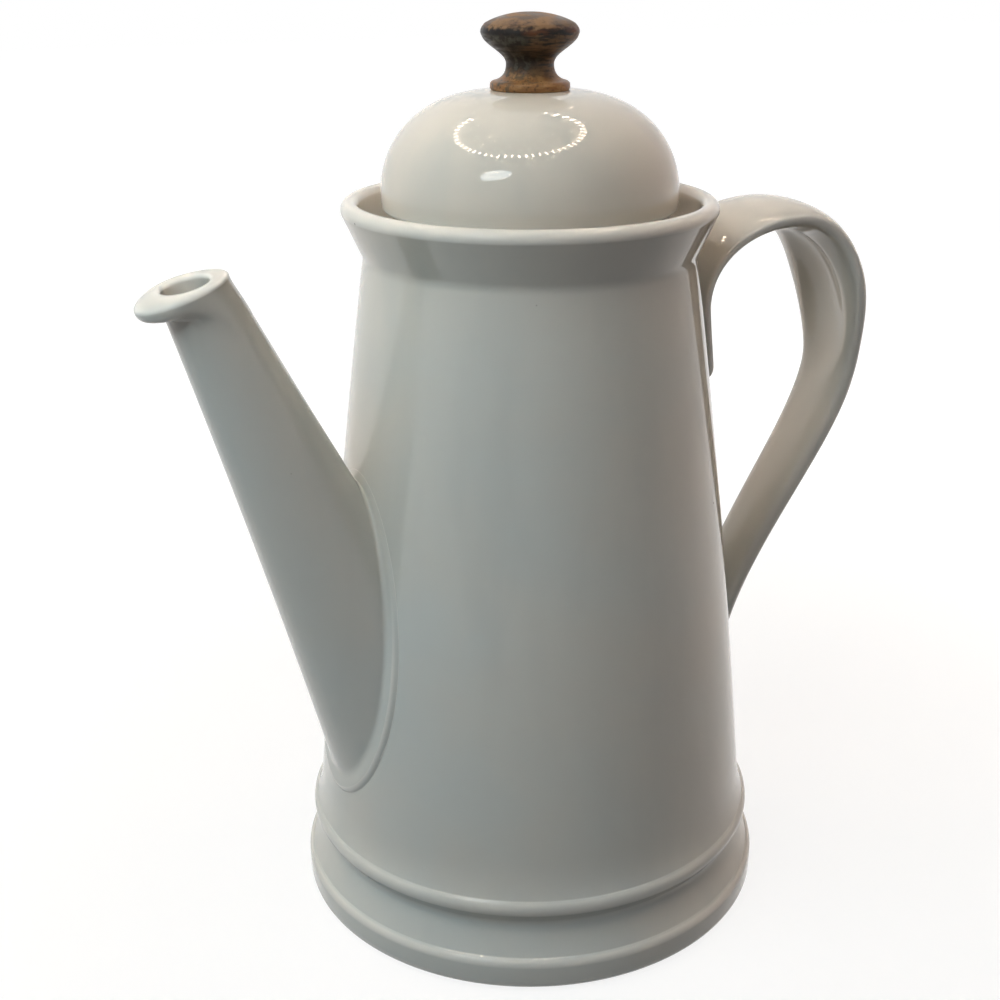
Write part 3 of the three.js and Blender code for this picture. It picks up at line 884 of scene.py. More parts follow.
@dataclass
class PotBody:
    """The turned pot: standing ring, groove, bead, tapered side, neck, rim and the ledge for the lid."""

    rim_height: float = 213.0
    rim_radius: float = 52.6
    lip_radius: float = 2.6
    neck_drop: float = 15.6
    neck_inset: float = 5.6
    foot_radius: float = 71.6
    foot_height: float = 10.6
    foot_edge: float = 3.0
    foot_ring_width: float = 7.0
    base_recess: float = 1.5
    groove_depth: float = 6.0
    groove_height: float = 19.2
    bead_inset: float = 2.4
    bead_height: float = 25.2
    bead_round: float = 3.4
    side_inset: float = 5.2
    side_height: float = 32.4
    side_bulge: float = 1.1
    wall: float = 4.8
    floor_thickness: float = 6.0
    floor_corner: float = 9.0
    seat_depth: float = 11.4
    seat_width: float = 3.6
    ledge_drop: float = 14.0
    ledge_radius: float = 41.3
    corner: float = 1.6
    hole_height: float = 76.0
    hole_half_width: float = 12.0
    hole_half_height: float = 15.0
    hole_facets: int = 48
    side_steps: int = 26
    fit_steps: int = 60
    facets: int = 176

    @property
    def seat_height(self) -> float:
        """Height of the ledge that the lid rests on."""
        return self.rim_height - self.seat_depth

    @property
    def seat_radius(self) -> float:
        """Radius of the recess above the ledge."""
        return self.ledge_radius + self.seat_width

    @property
    def side_radius(self) -> float:
        """Radius of the side where it leaves the bead."""
        return self.foot_radius - self.side_inset

    @property
    def floor_top(self) -> float:
        """Height of the floor inside."""
        return self.base_recess + self.floor_thickness

    def side_line(self, steps: int) -> np.ndarray:
        """Samples the outside of the side, from the bead to the neck.

        Args:
            steps: Number of chords.

        Returns:
            The points, upwards.
        """
        neck_radius, neck_height = self.rim_radius - self.neck_inset, self.rim_height - self.neck_drop
        swell = ((self.side_radius + neck_radius) / 2 + 2 * self.side_bulge, (self.side_height + neck_height) / 2)
        return bowed([(self.side_radius, self.side_height), swell, (neck_radius, neck_height)], steps)

    def outside_radius(self, z: float | np.ndarray) -> float | np.ndarray:
        """Gives the radius of the side's outside at a height."""
        side = self.side_line(self.fit_steps)
        return np.interp(z, side[:, 1], side[:, 0])

    def outside(self, gap: float = 0.0) -> Profile:
        """Draws the outside from the standing ring up to the top of the rim.

        Args:
            gap: How far the profile is moved outwards.

        Returns:
            The profile, upwards.
        """
        foot_middle = self.foot_radius - self.foot_edge
        return [
            *arc(foot_middle, self.foot_edge, self.foot_edge + gap, -90, 0, 8),
            *arc(foot_middle, self.foot_height - self.foot_edge, self.foot_edge + gap, 0, 62, 7),
            (self.foot_radius - self.groove_depth + gap, self.groove_height),
            *arc(
                self.foot_radius - self.bead_inset - self.bead_round,
                self.bead_height, self.bead_round + gap, -38, 52, 12,
            ),
            *[(r + gap, z) for r, z in self.side_line(self.side_steps)],
            *arc(
                self.rim_radius - self.lip_radius, self.rim_height - self.lip_radius,
                self.lip_radius + gap, -26, 90, 14,
            ),
        ]

    def inside(self) -> Profile:
        """Draws the inside from the rim down to the middle of the floor.

        Returns:
            The profile, downwards.
        """
        below_ledge = self.seat_height - self.ledge_drop
        side = [(r - self.wall, z) for r, z in self.side_line(self.side_steps)[::-1] if z < below_ledge]
        return [
            *arc(self.rim_radius - self.lip_radius, self.rim_height - self.lip_radius, self.lip_radius, 100, 180, 7),
            (self.seat_radius, self.seat_height),
            (self.ledge_radius, self.seat_height),
            *side,
            *arc(
                self.side_radius - self.wall - self.floor_corner,
                self.floor_top + self.floor_corner, self.floor_corner, 0, -90, 10,
            ),
            (0.0, self.floor_top),
        ]

    def profile(self) -> Profile:
        """Joins the base, the outside and the inside.

        Returns:
            The whole profile.
        """
        recess = self.foot_radius - self.foot_ring_width - self.foot_edge
        base = [(0.0, self.base_recess), (recess, self.base_recess), (recess + self.base_recess, 0.0)]
        return [*base, *self.outside(), *self.inside()]

    def build(self, lathe: Lathe, glaze: Finish) -> Piece:
        """Turns the pot and cuts the hole that the spout covers.

        Args:
            lathe: Turns the profile.
            glaze: The pot's finish.

        Returns:
            The piece.
        """
        piece = lathe.turn("pot_shell", self.profile(), self.corner, self.facets, glaze)
        turns = np.radians(np.arange(0, 360, 360 / self.hole_facets))
        y = self.hole_half_width * np.cos(turns)
        z = self.hole_height + self.hole_half_height * np.sin(turns)
        middle = float(self.outside_radius(self.hole_height))
        rings = [np.stack([np.full_like(y, -middle + x), y, z], axis=1) for x in (-self.wall, 3 * self.wall)]
        hole = bmesh.new()
        far, near = ([hole.verts.new(p * MM) for p in ring] for ring in rings)
        hole.faces.new(far)
        hole.faces.new(near)
        for j in range(self.hole_facets):
            k = (j + 1) % self.hole_facets
            hole.faces.new([far[j], far[k], near[k], near[j]])
        bmesh.ops.recalc_face_normals(hole, faces=hole.faces)
        carve(piece, bmesh_object("spout_hole", hole))
        return piece

    def filled(self, lathe: Lathe, sink: float) -> Piece:
        """Makes the pot filled in up to its outside, as the tool that fits a piece to it.

        Args:
            lathe: Turns the profile.
            sink: How far the tool lies under the pot's surface.

        Returns:
            The tool.
        """
        profile = [(0.0, 0.0), *self.outside(-sink), (0.0, self.rim_height - sink)]
        return lathe.turn("filled_pot", profile, self.corner, self.facets, None)


@dataclass
class Spout:
    """The straight tapered tube with its rolled pouring lip and the luting collar round its foot.

    The lip's rings stand at the degrees of over_lip and under_lip: from the bore's edge at 0, over the top, to
    the outermost line at 180, and back in beneath. The lip fades into the tube from the first to the last number
    of lip_share, where 0 is the front of the tube, 1 its sides and 2 its back.
    """

    over_lip = (180, 178, 174, 168, 160, 148, 134, 118, 102, 86, 70, 54, 38, 24, 12, 4, 0)
    under_lip = (276, 266, 256, 246, 236, 226, 216, 206, 196, 188, 183)

    pot: PotBody
    reach: float = 95.7
    below_rim: float = 17.9
    lean: float = 68.4
    tip_half_depth: float = 9.75
    tip_half_width: float = 9.9
    depth_taper: float = 0.088
    width_taper: float = 0.104
    foot_swell: float = 0.00015
    tube_wall: float = 3.8
    bore_radius: float = 6.3
    mouth_forward: float = 2.9
    mouth_rise: float = 2.6
    mouth_tilt: float = 13.0
    lip_front: float = 7.7
    lip_back: float = 5.1
    lip_side: float = 4.75
    lip_rise: float = 1.4
    lip_bow: float = 2.2
    lip_depth: float = 3.8
    throat_front: float = 1.2
    throat_back: float = 4.8
    collar_width: float = 4.0
    collar_height: float = 1.0
    collar_feather: float = 2.2
    collar_fade: float = 0.75
    collar_fade_from: float = 0.3
    collar_turn: float = 100.0
    collar_steps: int = 8
    fillet: float = 4.5
    fillet_pull: float = 0.55
    fillet_steps: int = 8
    tube_steps: int = 43
    bore_steps: int = 33
    lip_fade: float = 5.5
    lip_fade_pull: float = 0.75
    lip_share: Span = (0.35, 1.30)
    halvings: int = 40
    sink: float = 0.2
    facets: int = 112

    def __post_init__(self) -> None:
        """Sets the directions of the tube in the plane y = 0."""
        lean, tilt = math.radians(self.lean), math.radians(self.mouth_tilt)
        self.turns = np.arange(self.facets) * math.tau / self.facets
        self.down = np.array([math.cos(lean), 0.0, -math.sin(lean)])
        self.front = np.array([-math.sin(lean), 0.0, -math.cos(lean)])
        self.side = np.array([0.0, 1.0, 0.0])
        self.tip = np.array([-self.reach, 0.0, self.pot.rim_height - self.below_rim])
        self.forward = np.array([-math.cos(tilt), 0.0, -math.sin(tilt)])
        self.upward = np.array([-math.sin(tilt), 0.0, math.cos(tilt)])

    def tube(self, down: np.ndarray, inset: float = 0.0) -> np.ndarray:
        """Gives a ring of the tube.

        Args:
            down: Distance down from the tip at each turn.
            inset: How far the ring is drawn in.

        Returns:
            One point a turn.
        """
        down = np.broadcast_to(down, self.turns.shape)
        depth = self.tip_half_depth + self.depth_taper * down + self.foot_swell * down**2 - inset
        width = self.tip_half_width + self.width_taper * down - inset
        return (
            self.tip
            + down[:, None] * self.down
            + (depth * np.cos(self.turns))[:, None] * self.front
            + (width * np.sin(self.turns))[:, None] * self.side
        )

    def oval(self, front: np.ndarray, back: np.ndarray, half_width: float) -> np.ndarray:
        """Gives an oval ring.

        Args:
            front: Its foremost point.
            back: Its rearmost point.
            half_width: Half its width from side to side.

        Returns:
            One point a turn.
        """
        middle, half = (front + back) / 2, (front - back) / 2
        return (
            middle
            + np.cos(self.turns)[:, None] * half
            + (half_width * np.sin(self.turns))[:, None] * self.side
        )

    def lip(self, degrees: float) -> np.ndarray:
        """Gives a ring of the pouring lip, from the bore's edge over the top and under the front.

        Args:
            degrees: The ring's place on the rolled edge.

        Returns:
            One point a turn.
        """
        turn = math.radians(degrees)
        middle = self.tip + np.array([-self.mouth_forward, 0.0, self.mouth_rise])
        out = (1 - math.cos(turn)) / 2
        under = degrees > 180
        rise = self.lip_depth * math.sin(turn) if under else self.lip_rise * math.sqrt(abs(math.sin(turn)))
        front = middle + self.forward * (self.bore_radius + self.lip_front * out)
        front = front + self.upward * (rise - self.lip_bow * out * out)
        back = middle - self.forward * (self.bore_radius + self.lip_back * out) + self.upward * rise
        half_width = self.bore_radius + self.lip_side * (out + 2 * math.sqrt(out)) / 3
        if under:
            back = self.tube(np.full_like(self.turns, self.lip_depth * (degrees - 180) / 90))[self.facets // 2]
            half_width = max(half_width, self.tip_half_width + self.width_taper * self.lip_depth)
        return self.oval(front, back, half_width)

    def met(self, inset: float = 0.0) -> np.ndarray:
        """Finds how far down the tube the outside of the pot is met.

        Args:
            inset: How far the tube is drawn in.

        Returns:
            The distance from the tip at each turn.
        """
        near, far = np.zeros(self.facets), np.full(self.facets, self.pot.rim_height)
        for _ in range(self.halvings):
            middle = (near + far) / 2
            p = self.tube(middle, inset)
            inside = np.hypot(p[:, 0], p[:, 1]) < self.pot.outside_radius(p[:, 2])
            near, far = np.where(inside, near, middle), np.where(inside, middle, far)
        return near

    def on_pot(self, points: np.ndarray, height: float) -> np.ndarray:
        """Moves points level onto the pot's side, at a height above its surface."""
        spread = (self.pot.outside_radius(points[:, 2]) + height) / np.hypot(points[:, 0], points[:, 1])
        return np.stack([points[:, 0] * spread, points[:, 1] * spread, points[:, 2]], axis=1)

    def collar(self, joint: np.ndarray) -> tuple[list[np.ndarray], np.ndarray]:
        """Draws the luting collar from its outer edge in to its crest.

        Args:
            joint: The line along which the tube meets the pot.

        Returns:
            The rings, and the direction away from the tube at each turn.
        """
        middle = (joint[0] + joint[self.facets // 2]) / 2
        outward = np.stack([joint[:, 0], joint[:, 1], np.zeros(self.facets)], axis=1)
        outward /= np.linalg.norm(outward, axis=1)[:, None]
        away = np.cross(np.roll(joint, -1, axis=0) - np.roll(joint, 1, axis=0), outward)
        away /= np.linalg.norm(away, axis=1)[:, None]
        away *= np.sign(((joint - middle) * away).sum(axis=1))[:, None]
        low, high = joint[:, 2].min(), joint[:, 2].max()
        faded = self.collar_fade * ease(joint[:, 2], low + self.collar_fade_from * (high - low), high)
        height = self.collar_height * (1 - faded)
        rings = [self.on_pot(joint + away * self.collar_width, -self.sink)]
        for degrees in np.linspace(0, self.collar_turn, self.collar_steps + 1):
            turn = math.radians(degrees)
            offset = self.collar_width * (1 + math.cos(turn)) / 2
            rings.append(self.on_pot(joint + away * offset, height * math.sin(turn) ** self.collar_feather))
        return rings, away

    def faded_lip(self, low: np.ndarray) -> list[np.ndarray]:
        """Draws the underside of the lip, which runs into the tube at the sides and the back.

        Args:
            low: The tube's last ring below the lip.

        Returns:
            The rings, upwards.
        """
        edge, share = self.lip(180), ease(1 - np.cos(self.turns), *self.lip_share)[:, None]
        first, last = low - self.down * self.lip_fade_pull * self.lip_fade, edge - self.upward * self.lip_depth / 2
        shares = np.linspace(0, 1, len(self.under_lip) + 2)[1:-1]
        return [
            self.lip(degrees) * (1 - share) + pulled(low, first, last, edge, t) * share
            for t, degrees in zip(shares, self.under_lip)
        ]

    def build(self, glaze: Finish) -> Piece:
        """Skins the spout: collar, fillet, tube, lip, bore and the foot that lies on the pot.

        Args:
            glaze: The spout's finish.

        Returns:
            The piece.
        """
        met = self.met()
        rings, away = self.collar(self.tube(met))
        crest, start = rings[-1], self.tube(met - self.fillet)
        pull = self.fillet_pull * self.fillet
        first, last = crest - away * pull / 2, start + self.down * pull
        rings += [pulled(crest, first, last, start, t) for t in np.linspace(0, 1, self.fillet_steps + 1)[1:-1]]
        drop = self.throat_back - self.throat_front
        throat = (self.throat_front + self.throat_back - drop * np.cos(self.turns)) / 2
        flare = throat + self.lip_fade * ease(1 - np.cos(self.turns), *self.lip_share)
        for t in np.linspace(0, 1, self.tube_steps + 1):
            rings.append(self.tube((met - self.fillet) * (1 - t) + flare * t))
        rings += self.faded_lip(rings[-1])
        rings += [self.lip(degrees) for degrees in self.over_lip]
        meets = self.met(self.tube_wall)
        top = self.throat_front + self.throat_back + self.bore_radius
        for t in np.linspace(0, 1, self.bore_steps + 1):
            rings.append(self.tube(top * (1 - t) + meets * t, self.tube_wall))
        rings.append(self.on_pot(rings[-1], -self.sink))
        piece = skin("spout_tube", np.array(rings))
        piece.data.materials.append(glaze)
        return piece


@dataclass
class Handle:
    """The pulled strap: a tail pressed on the neck, a wide arch with a thumb hollow, and a run to the side."""

    pot: PotBody
    root_below_rim: float = 36.9
    root_proud: float = 1.5
    root_pull: float = 16.9
    crown_below_rim: float = 10.3
    crown_out: float = 29.8
    crown_pull_in: float = 17.0
    crown_pull_out: float = 21.4
    out: float = 59.5
    arch_drop: float = 47.2
    arch_pull_up: float = 20.6
    arch_pull_down: float = 28.9
    foot_height: float = 48.0
    foot_proud: float = 0.4
    foot_pull: float = 42.9
    foot_pull_in: float = 1.0
    half_thickness: float = 4.8
    root_half_width: float = 14.5
    arch_half_width: float = 17.9
    run_half_width: float = 11.5
    foot_half_width: float = 7.7
    arch_at: float = 0.4
    run_at: float = 0.56
    outer_fullness: float = 1.9
    inner_fullness: float = 2.5
    tail_length: float = 21.0
    tail_round: float = 6.0
    foot_round: float = 7.0
    end_blunt: float = 1.0
    end_width: float = 0.45
    root_thin_outside: float = 3.0
    root_thin_inside: float = 0.9
    root_thin_run: float = 60.0
    foot_flare: float = 2.4
    foot_flare_fade: float = 8.0
    hollow_depth: float = 3.4
    hollow_half_width: float = 11.0
    hollow_edge: float = 0.1
    hollow_start: float = 0.31
    hollow_end: float = 0.57
    sink: float = 0.15
    stations: int = 230
    facets: int = 84

    def line(self) -> np.ndarray:
        """Draws the middle line: a tail on the neck, the arch in two curves, then a run down to the side.

        Returns:
            The line's points, evenly spaced.
        """
        pot = self.pot
        root_z = pot.rim_height - self.root_below_rim
        tail_z = root_z - self.tail_length
        crown_z = pot.rim_height - self.crown_below_rim
        crown_x = pot.rim_radius + self.crown_out
        turn_z, turn_x = crown_z - self.arch_drop, pot.rim_radius + self.out
        tail = np.array([pot.outside_radius(tail_z) + self.root_proud, tail_z])
        root = np.array([pot.outside_radius(root_z) + self.root_proud, root_z])
        foot_x = pot.outside_radius(self.foot_height) + self.foot_proud
        lead = root + (root - tail) / np.linalg.norm(root - tail) * self.root_pull
        crown, turn, foot = (crown_x, crown_z), (turn_x, turn_z), (foot_x, self.foot_height)
        above_foot = (foot_x - self.foot_pull_in, self.foot_height + self.foot_pull)
        curves = (
            (60, [tail, root]),
            (200, [root, lead, (crown_x - self.crown_pull_in, crown_z), crown]),
            (200, [crown, (crown_x + self.crown_pull_out, crown_z), (turn_x, turn_z + self.arch_pull_up), turn]),
            (300, [turn, (turn_x, turn_z - self.arch_pull_down), above_foot, foot]),
        )
        fine = np.concatenate([bowed(corners, steps)[:-1] for steps, corners in curves] + [[foot]])
        flat = evenly(fine, self.stations)
        return np.stack([flat[:, 0], np.zeros(len(flat)), flat[:, 1]], axis=1)

    def half_width(self, t: np.ndarray) -> np.ndarray:
        """Gives half the strap's width: widest on the arch, then narrowing down the run to the foot.

        Args:
            t: Shares of the strap's length.

        Returns:
            Half the width at each share.
        """
        rising = self.root_half_width + (self.arch_half_width - self.root_half_width) * ease(t, 0.0, self.arch_at)
        drop = ease(t, self.arch_at, self.run_at)
        falling = self.arch_half_width + (self.run_half_width - self.arch_half_width) * drop
        share = (t - self.run_at) / (1 - self.run_at)
        lower = self.run_half_width + (self.foot_half_width - self.run_half_width) * share
        return np.where(t < self.arch_at, rising, np.where(t < self.run_at, falling, lower))

    def within(self, t: np.ndarray) -> np.ndarray:
        """Gives 1 in the middle of the hollow's length, 0 at its ends and less beyond them."""
        from_middle = (2 * t - self.hollow_start - self.hollow_end) / (self.hollow_end - self.hollow_start)
        return 1 - from_middle**2

    def fullness(self, distance: np.ndarray, rounding: float) -> np.ndarray:
        """Gives how full the strap is at a distance from a rounded end."""
        return np.sqrt(1 - (1 - np.minimum(1, (distance + self.end_blunt) / rounding)) ** 2)

    def build(self, press: StrapPress, lathe: Lathe, glaze: Finish) -> Piece:
        """Draws the strap and fits its two ends to the pot.

        Args:
            press: Draws the strap along its line.
            lathe: Turns the tool that fits it.
            glaze: The strap's finish.

        Returns:
            The piece.
        """
        line = self.line()
        length = np.linalg.norm(np.diff(line, axis=0), axis=1).sum()
        t = np.linspace(0, 1, len(line))
        run = t * length
        along = np.gradient(line, axis=0)
        along /= np.linalg.norm(along, axis=1)[:, None]
        outward = np.stack([-along[:, 2], np.zeros(len(line)), along[:, 0]], axis=1)
        flare = self.foot_flare * np.exp((run - length) / self.foot_flare_fade)
        near_root = np.exp(-((run / self.root_thin_run) ** 2))
        tail, toe = self.fullness(run, self.tail_round), self.fullness(length - run, self.foot_round)
        narrowed = (self.end_width + (1 - self.end_width) * tail) * (self.end_width + (1 - self.end_width) * toe)
        sizes = {
            "outward": outward,
            "half_width": self.half_width(t) * narrowed,
            "outer_half": (self.half_thickness + flare - self.root_thin_outside * near_root) * toe,
            "inner_half": (self.half_thickness + flare - self.root_thin_inside * near_root) * tail,
            "within": self.within(t),
        }
        line, sizes = self.capped(line, sizes)
        piece = press.draw(
            "handle_strap", line, sizes,
            Outer_fullness=self.outer_fullness, Inner_fullness=self.inner_fullness,
            Hollow_depth=self.hollow_depth * MM, Hollow_half_width=self.hollow_half_width * MM,
            Hollow_edge=self.hollow_edge, Facets=self.facets, Finish=glaze,
        )
        carve(piece, self.pot.filled(lathe, self.sink))
        return piece

    @staticmethod
    def capped(line: np.ndarray, sizes: dict[str, np.ndarray]) -> tuple[np.ndarray, dict[str, np.ndarray]]:
        """Closes both ends of the strap with a station of no size.

        Args:
            line: The strap's middle line.
            sizes: Each station's values.

        Returns:
            The line and the values with the two stations added.
        """
        line = np.concatenate([line[:1], line, line[-1:]])
        closed = {}
        for name, rows in sizes.items():
            first, last = ([0.0], [0.0]) if name in StrapPress.halves else (rows[:1], rows[-1:])
            closed[name] = np.concatenate([first, rows, last])
        return line, closed


# The lid


@dataclass
class Lid:
    """The hollow dome with a brim that rests on the ledge and a skirt that hangs inside it."""

    pot: PotBody
    seat_gap: float = 0.3
    skirt_clearance: float = 0.7
    skirt_length: float = 9.0
    skirt_thickness: float = 3.4
    brim_clearance: float = 0.7
    brim_thickness: float = 2.1
    cove_inset: float = 5.9
    cove_height: float = 5.0
    dome_inset: float = 2.8
    dome_undercut: float = 4.8
    dome_widest: float = 12.4
    dome_height: float = 39.8
    dome_shoulder: float = 19.5
    crown_radius: float = 11.7
    wall: float = 4.4
    hole_radius: float = 1.95
    soft_edge: float = 0.8
    corner: float = 1.1
    inside_steps: int = 24
    dome_steps: int = 40
    facets: int = 160

    @property
    def foot(self) -> float:
        """Height of the underside of the brim."""
        return self.pot.seat_height + self.seat_gap

    @property
    def top(self) -> float:
        """Height of the flat crown that the knob stands on."""
        return self.foot + self.dome_height

    def dome(self, inset: float, steps: int) -> Profile:
        """Draws the dome from its widest circle to the flat crown.

        Args:
            inset: How far the curve is drawn in.
            steps: Number of chords.

        Returns:
            The curve, upwards.
        """
        radius = self.pot.seat_radius - self.brim_clearance - self.dome_inset - inset
        widest, top = self.foot + self.dome_widest, self.top - inset
        corners = [
            (radius, widest),
            (radius, (widest + top) / 2),
            (self.crown_radius + self.dome_shoulder - inset, top - self.soft_edge),
            (self.crown_radius, top),
        ]
        return [tuple(p) for p in bowed(corners, steps)]

    def build(self, lathe: Lathe, glaze: Finish) -> Piece:
        """Turns the lid.

        Args:
            lathe: Turns the profile.
            glaze: The lid's finish.

        Returns:
            The piece.
        """
        soft = self.soft_edge
        skirt_radius = self.pot.ledge_radius - self.skirt_clearance
        skirt_inside = skirt_radius - self.skirt_thickness
        skirt_foot = self.foot - self.skirt_length
        brim_radius = self.pot.seat_radius - self.brim_clearance
        cove_radius = brim_radius - self.cove_inset
        undercut = self.foot + self.dome_widest - self.dome_undercut
        profile = [
            (self.hole_radius, self.top - self.wall / 2),
            (self.hole_radius, self.top - self.wall),
            *self.dome(self.wall, self.inside_steps)[::-1],
            (skirt_inside, self.foot + self.cove_height),
            (skirt_inside, skirt_foot),
            (skirt_radius, skirt_foot),
            (skirt_radius, self.foot),
            (brim_radius, self.foot),
            (brim_radius, self.foot + self.brim_thickness),
            (cove_radius + soft, self.foot + self.cove_height - soft),
            (cove_radius, self.foot + self.cove_height),
            (cove_radius + soft / 2, undercut),
            (brim_radius - self.dome_inset - soft / 3, undercut + soft),
            *self.dome(0.0, self.dome_steps),
            (self.hole_radius, self.top),
            (self.hole_radius, self.top - self.wall / 2),
        ]
        return lathe.turn("lid_dome", profile, self.corner, self.facets, glaze)


@dataclass
class Knob:
    """The turned knob: a disc foot, a narrow waist, and a mushroom head with a low crown."""

    lid: Lid
    height: float = 20.1
    radius: float = 13.4
    base_radius: float = 10.9
    base_height: float = 2.4
    waist_radius: float = 6.5
    waist_height: float = 6.8
    widest_height: float = 15.0
    crown_height: float = 17.2
    edge: float = 0.6
    waist_pull: float = 0.4
    head_pull: float = 0.32
    head_low: float = 0.5
    head_high: float = 0.18
    crown_flat: float = 0.4
    corner: float = 0.9
    pilot_depth: float = 12.0
    pilot_radius: float = 1.95
    waist_steps: int = 12
    head_steps: int = 14
    crown_steps: int = 18
    facets: int = 112

    def build(self, lathe: Lathe, wood: Finish) -> Piece:
        """Turns the knob.

        Args:
            lathe: Turns the profile.
            wood: The knob's finish.

        Returns:
            The piece.
        """
        edge, waist_rise = self.edge, self.waist_height - self.base_height
        head_rise = self.widest_height - self.waist_height
        waist = bowed([
            (self.base_radius - edge, self.base_height),
            (self.waist_radius + edge, self.base_height + edge),
            (self.waist_radius, self.waist_height - self.waist_pull * waist_rise),
            (self.waist_radius, self.waist_height),
        ], self.waist_steps)
        head = bowed([
            (self.waist_radius, self.waist_height),
            (self.waist_radius, self.waist_height + self.head_pull * head_rise),
            (self.radius - 4 * edge, self.widest_height - self.head_low * head_rise),
            (self.radius - edge, self.widest_height - self.head_high * head_rise),
        ], self.head_steps)[1:]
        crown = bowed([
            (self.radius - 2 * edge, self.crown_height),
            (self.radius - 6 * edge, (self.crown_height + self.height) / 2),
            (self.crown_flat * self.radius, self.height),
            (0.0, self.height),
        ], self.crown_steps)
        profile = [
            (0.0, self.pilot_depth),
            (self.pilot_radius, self.pilot_depth),
            (self.pilot_radius, 0.0),
            (self.base_radius, 0.0),
            (self.base_radius, self.base_height - edge),
            *waist,
            *head,
            (self.radius, self.widest_height),
            (self.radius - edge / 2, (self.widest_height + self.crown_height) / 2),
            *crown,
        ]
        return lathe.turn("knob_turned", profile, self.corner, self.facets, wood, self.lid.top)


@dataclass
class Fixing:
    """What holds the knob from inside the dome: a fibre washer and a slotted pan-head screw.

    The head's rounded side runs through pan_shares, as shares of its radius and height.
    """

    pan_shares = ((0.6, 1.0), (0.9, 0.7), (1.0, 0.25))

    knob: Knob
    washer_radius: float = 6.5
    washer_thickness: float = 1.2
    shank_radius: float = 1.75
    head_radius: float = 3.6
    head_height: float = 2.1
    tip_gap: float = 2.0
    slot_width: float = 1.0
    slot_depth: float = 1.0
    washer_corner: float = 0.2
    screw_corner: float = 0.35
    facets: int = 64

    def washer(self, lathe: Lathe, fibre: Finish) -> Piece:
        """Turns the washer.

        Args:
            lathe: Turns the profile.
            fibre: The washer's finish.

        Returns:
            The piece.
        """
        top = self.knob.lid.top - self.knob.lid.wall
        hole, foot = self.knob.pilot_radius, top - self.washer_thickness
        profile = [
            (hole, (top + foot) / 2), (hole, foot), (self.washer_radius, foot), (self.washer_radius, top),
            (hole, top), (hole, (top + foot) / 2),
        ]
        return lathe.turn("washer_disc", profile, self.washer_corner, self.facets, fibre)

    def screw(self, lathe: Lathe, steel: Finish) -> Piece:
        """Turns the screw and cuts its slot.

        Args:
            lathe: Turns the profile.
            steel: The screw's finish.

        Returns:
            The piece.
        """
        top = self.knob.lid.top - self.knob.lid.wall - self.washer_thickness
        reach = self.knob.lid.wall + self.washer_thickness + self.knob.pilot_depth - self.tip_gap
        head, shank = self.head_radius, self.shank_radius
        profile = [
            (0.0, -self.head_height), *[(r * head, -z * self.head_height) for r, z in self.pan_shares],
            (head, 0.0), (shank, 0.0), (shank, reach - shank), (0.0, reach),
        ]
        piece = lathe.turn("screw_turned", profile, self.screw_corner, self.facets, steel, top)
        slot = bmesh.new()
        bmesh.ops.create_cube(slot, size=1.0)
        size = Vector((4 * head, self.slot_width, 2 * self.slot_depth)) * MM
        bmesh.ops.scale(slot, vec=size, verts=slot.verts)
        bmesh.ops.translate(slot, vec=Vector((0.0, 0.0, (top - self.head_height) * MM)), verts=slot.verts)
        carve(piece, bmesh_object("screw_slot", slot))
        return piece


# The room


@dataclass
class Lamp:
    """A soft lamp that points at the pot: a round or oval panel, or a ring of bulbs.

    A bulb's brightness falls off from its middle as a sine raised to bulb_fall, and bulb_mean is what that
    comes to over the ring. A lamp that shines is mirrored in the glaze.
    """

    bulb_fall = 4.0
    bulb_mean = 3.0 / 16.0

    name: str
    place: tuple[float, float, float]
    width: float
    height: float
    power: float
    tint: Colour
    hollow: float = 0.0
    bulbs: int = 0
    gap: float = 0.0
    turn: float = 0.0
    shines: bool = False
    aim: tuple[float, float, float] = (0.0, 0.0, 0.13)

    def build(self) -> None:
        """Adds the lamp."""
        light = bpy.data.lights.new(self.name, "AREA")
        light.shape = "ELLIPSE"
        light.size, light.size_y = self.width, self.height
        light.energy = self.power
        light.color = self.tint
        if self.hollow > 0:
            self.ring(light)
        lamp = bpy.data.objects.new(self.name, light)
        lamp.location = self.place
        facing = (Vector(self.aim) - Vector(self.place)).to_track_quat("-Z", "Y")
        lamp.rotation_euler = (facing @ Quaternion((0.0, 0.0, 1.0), math.radians(self.turn))).to_euler()
        lamp.visible_camera = False
        lamp.visible_glossy = self.shines
        bpy.context.scene.collection.objects.link(lamp)

    def ring(self, light: bpy.types.Light) -> None:
        """Leaves the middle of the panel dark and puts its power in bulbs round it, except in the gap.

        Args:
            light: The panel's light.
        """
        light.use_nodes = True
        graph = NodeGraph(light.node_tree)
        spot = graph.node("ShaderNodeNewGeometry", {}).outputs["Parametric"]
        across, along, _ = graph.split(graph.vector_math("SUBTRACT", spot, (0.5, 0.5, 0.0)))
        squared = graph.plus(graph.times(across, across), graph.times(along, along))
        outside = graph.math("GREATER_THAN", squared, (self.hollow / 2) ** 2)
        turn = graph.math("ARCTAN2", along, across)
        past_gap = graph.math("GREATER_THAN", graph.math("COSINE", turn), -math.cos(self.gap / 2))
        beat = graph.math("SINE", graph.times(turn, self.bulbs))
        bulb = graph.math("POWER", graph.math("MAXIMUM", beat, 0.0), self.bulb_fall)
        strength = graph.times(bulb, 1.0 / (self.bulb_mean * (1.0 - self.hollow**2)))
        lit = graph.times(graph.times(outside, past_gap), strength)
        graph.feed(graph.tree.nodes["Emission"].inputs["Strength"], lit)


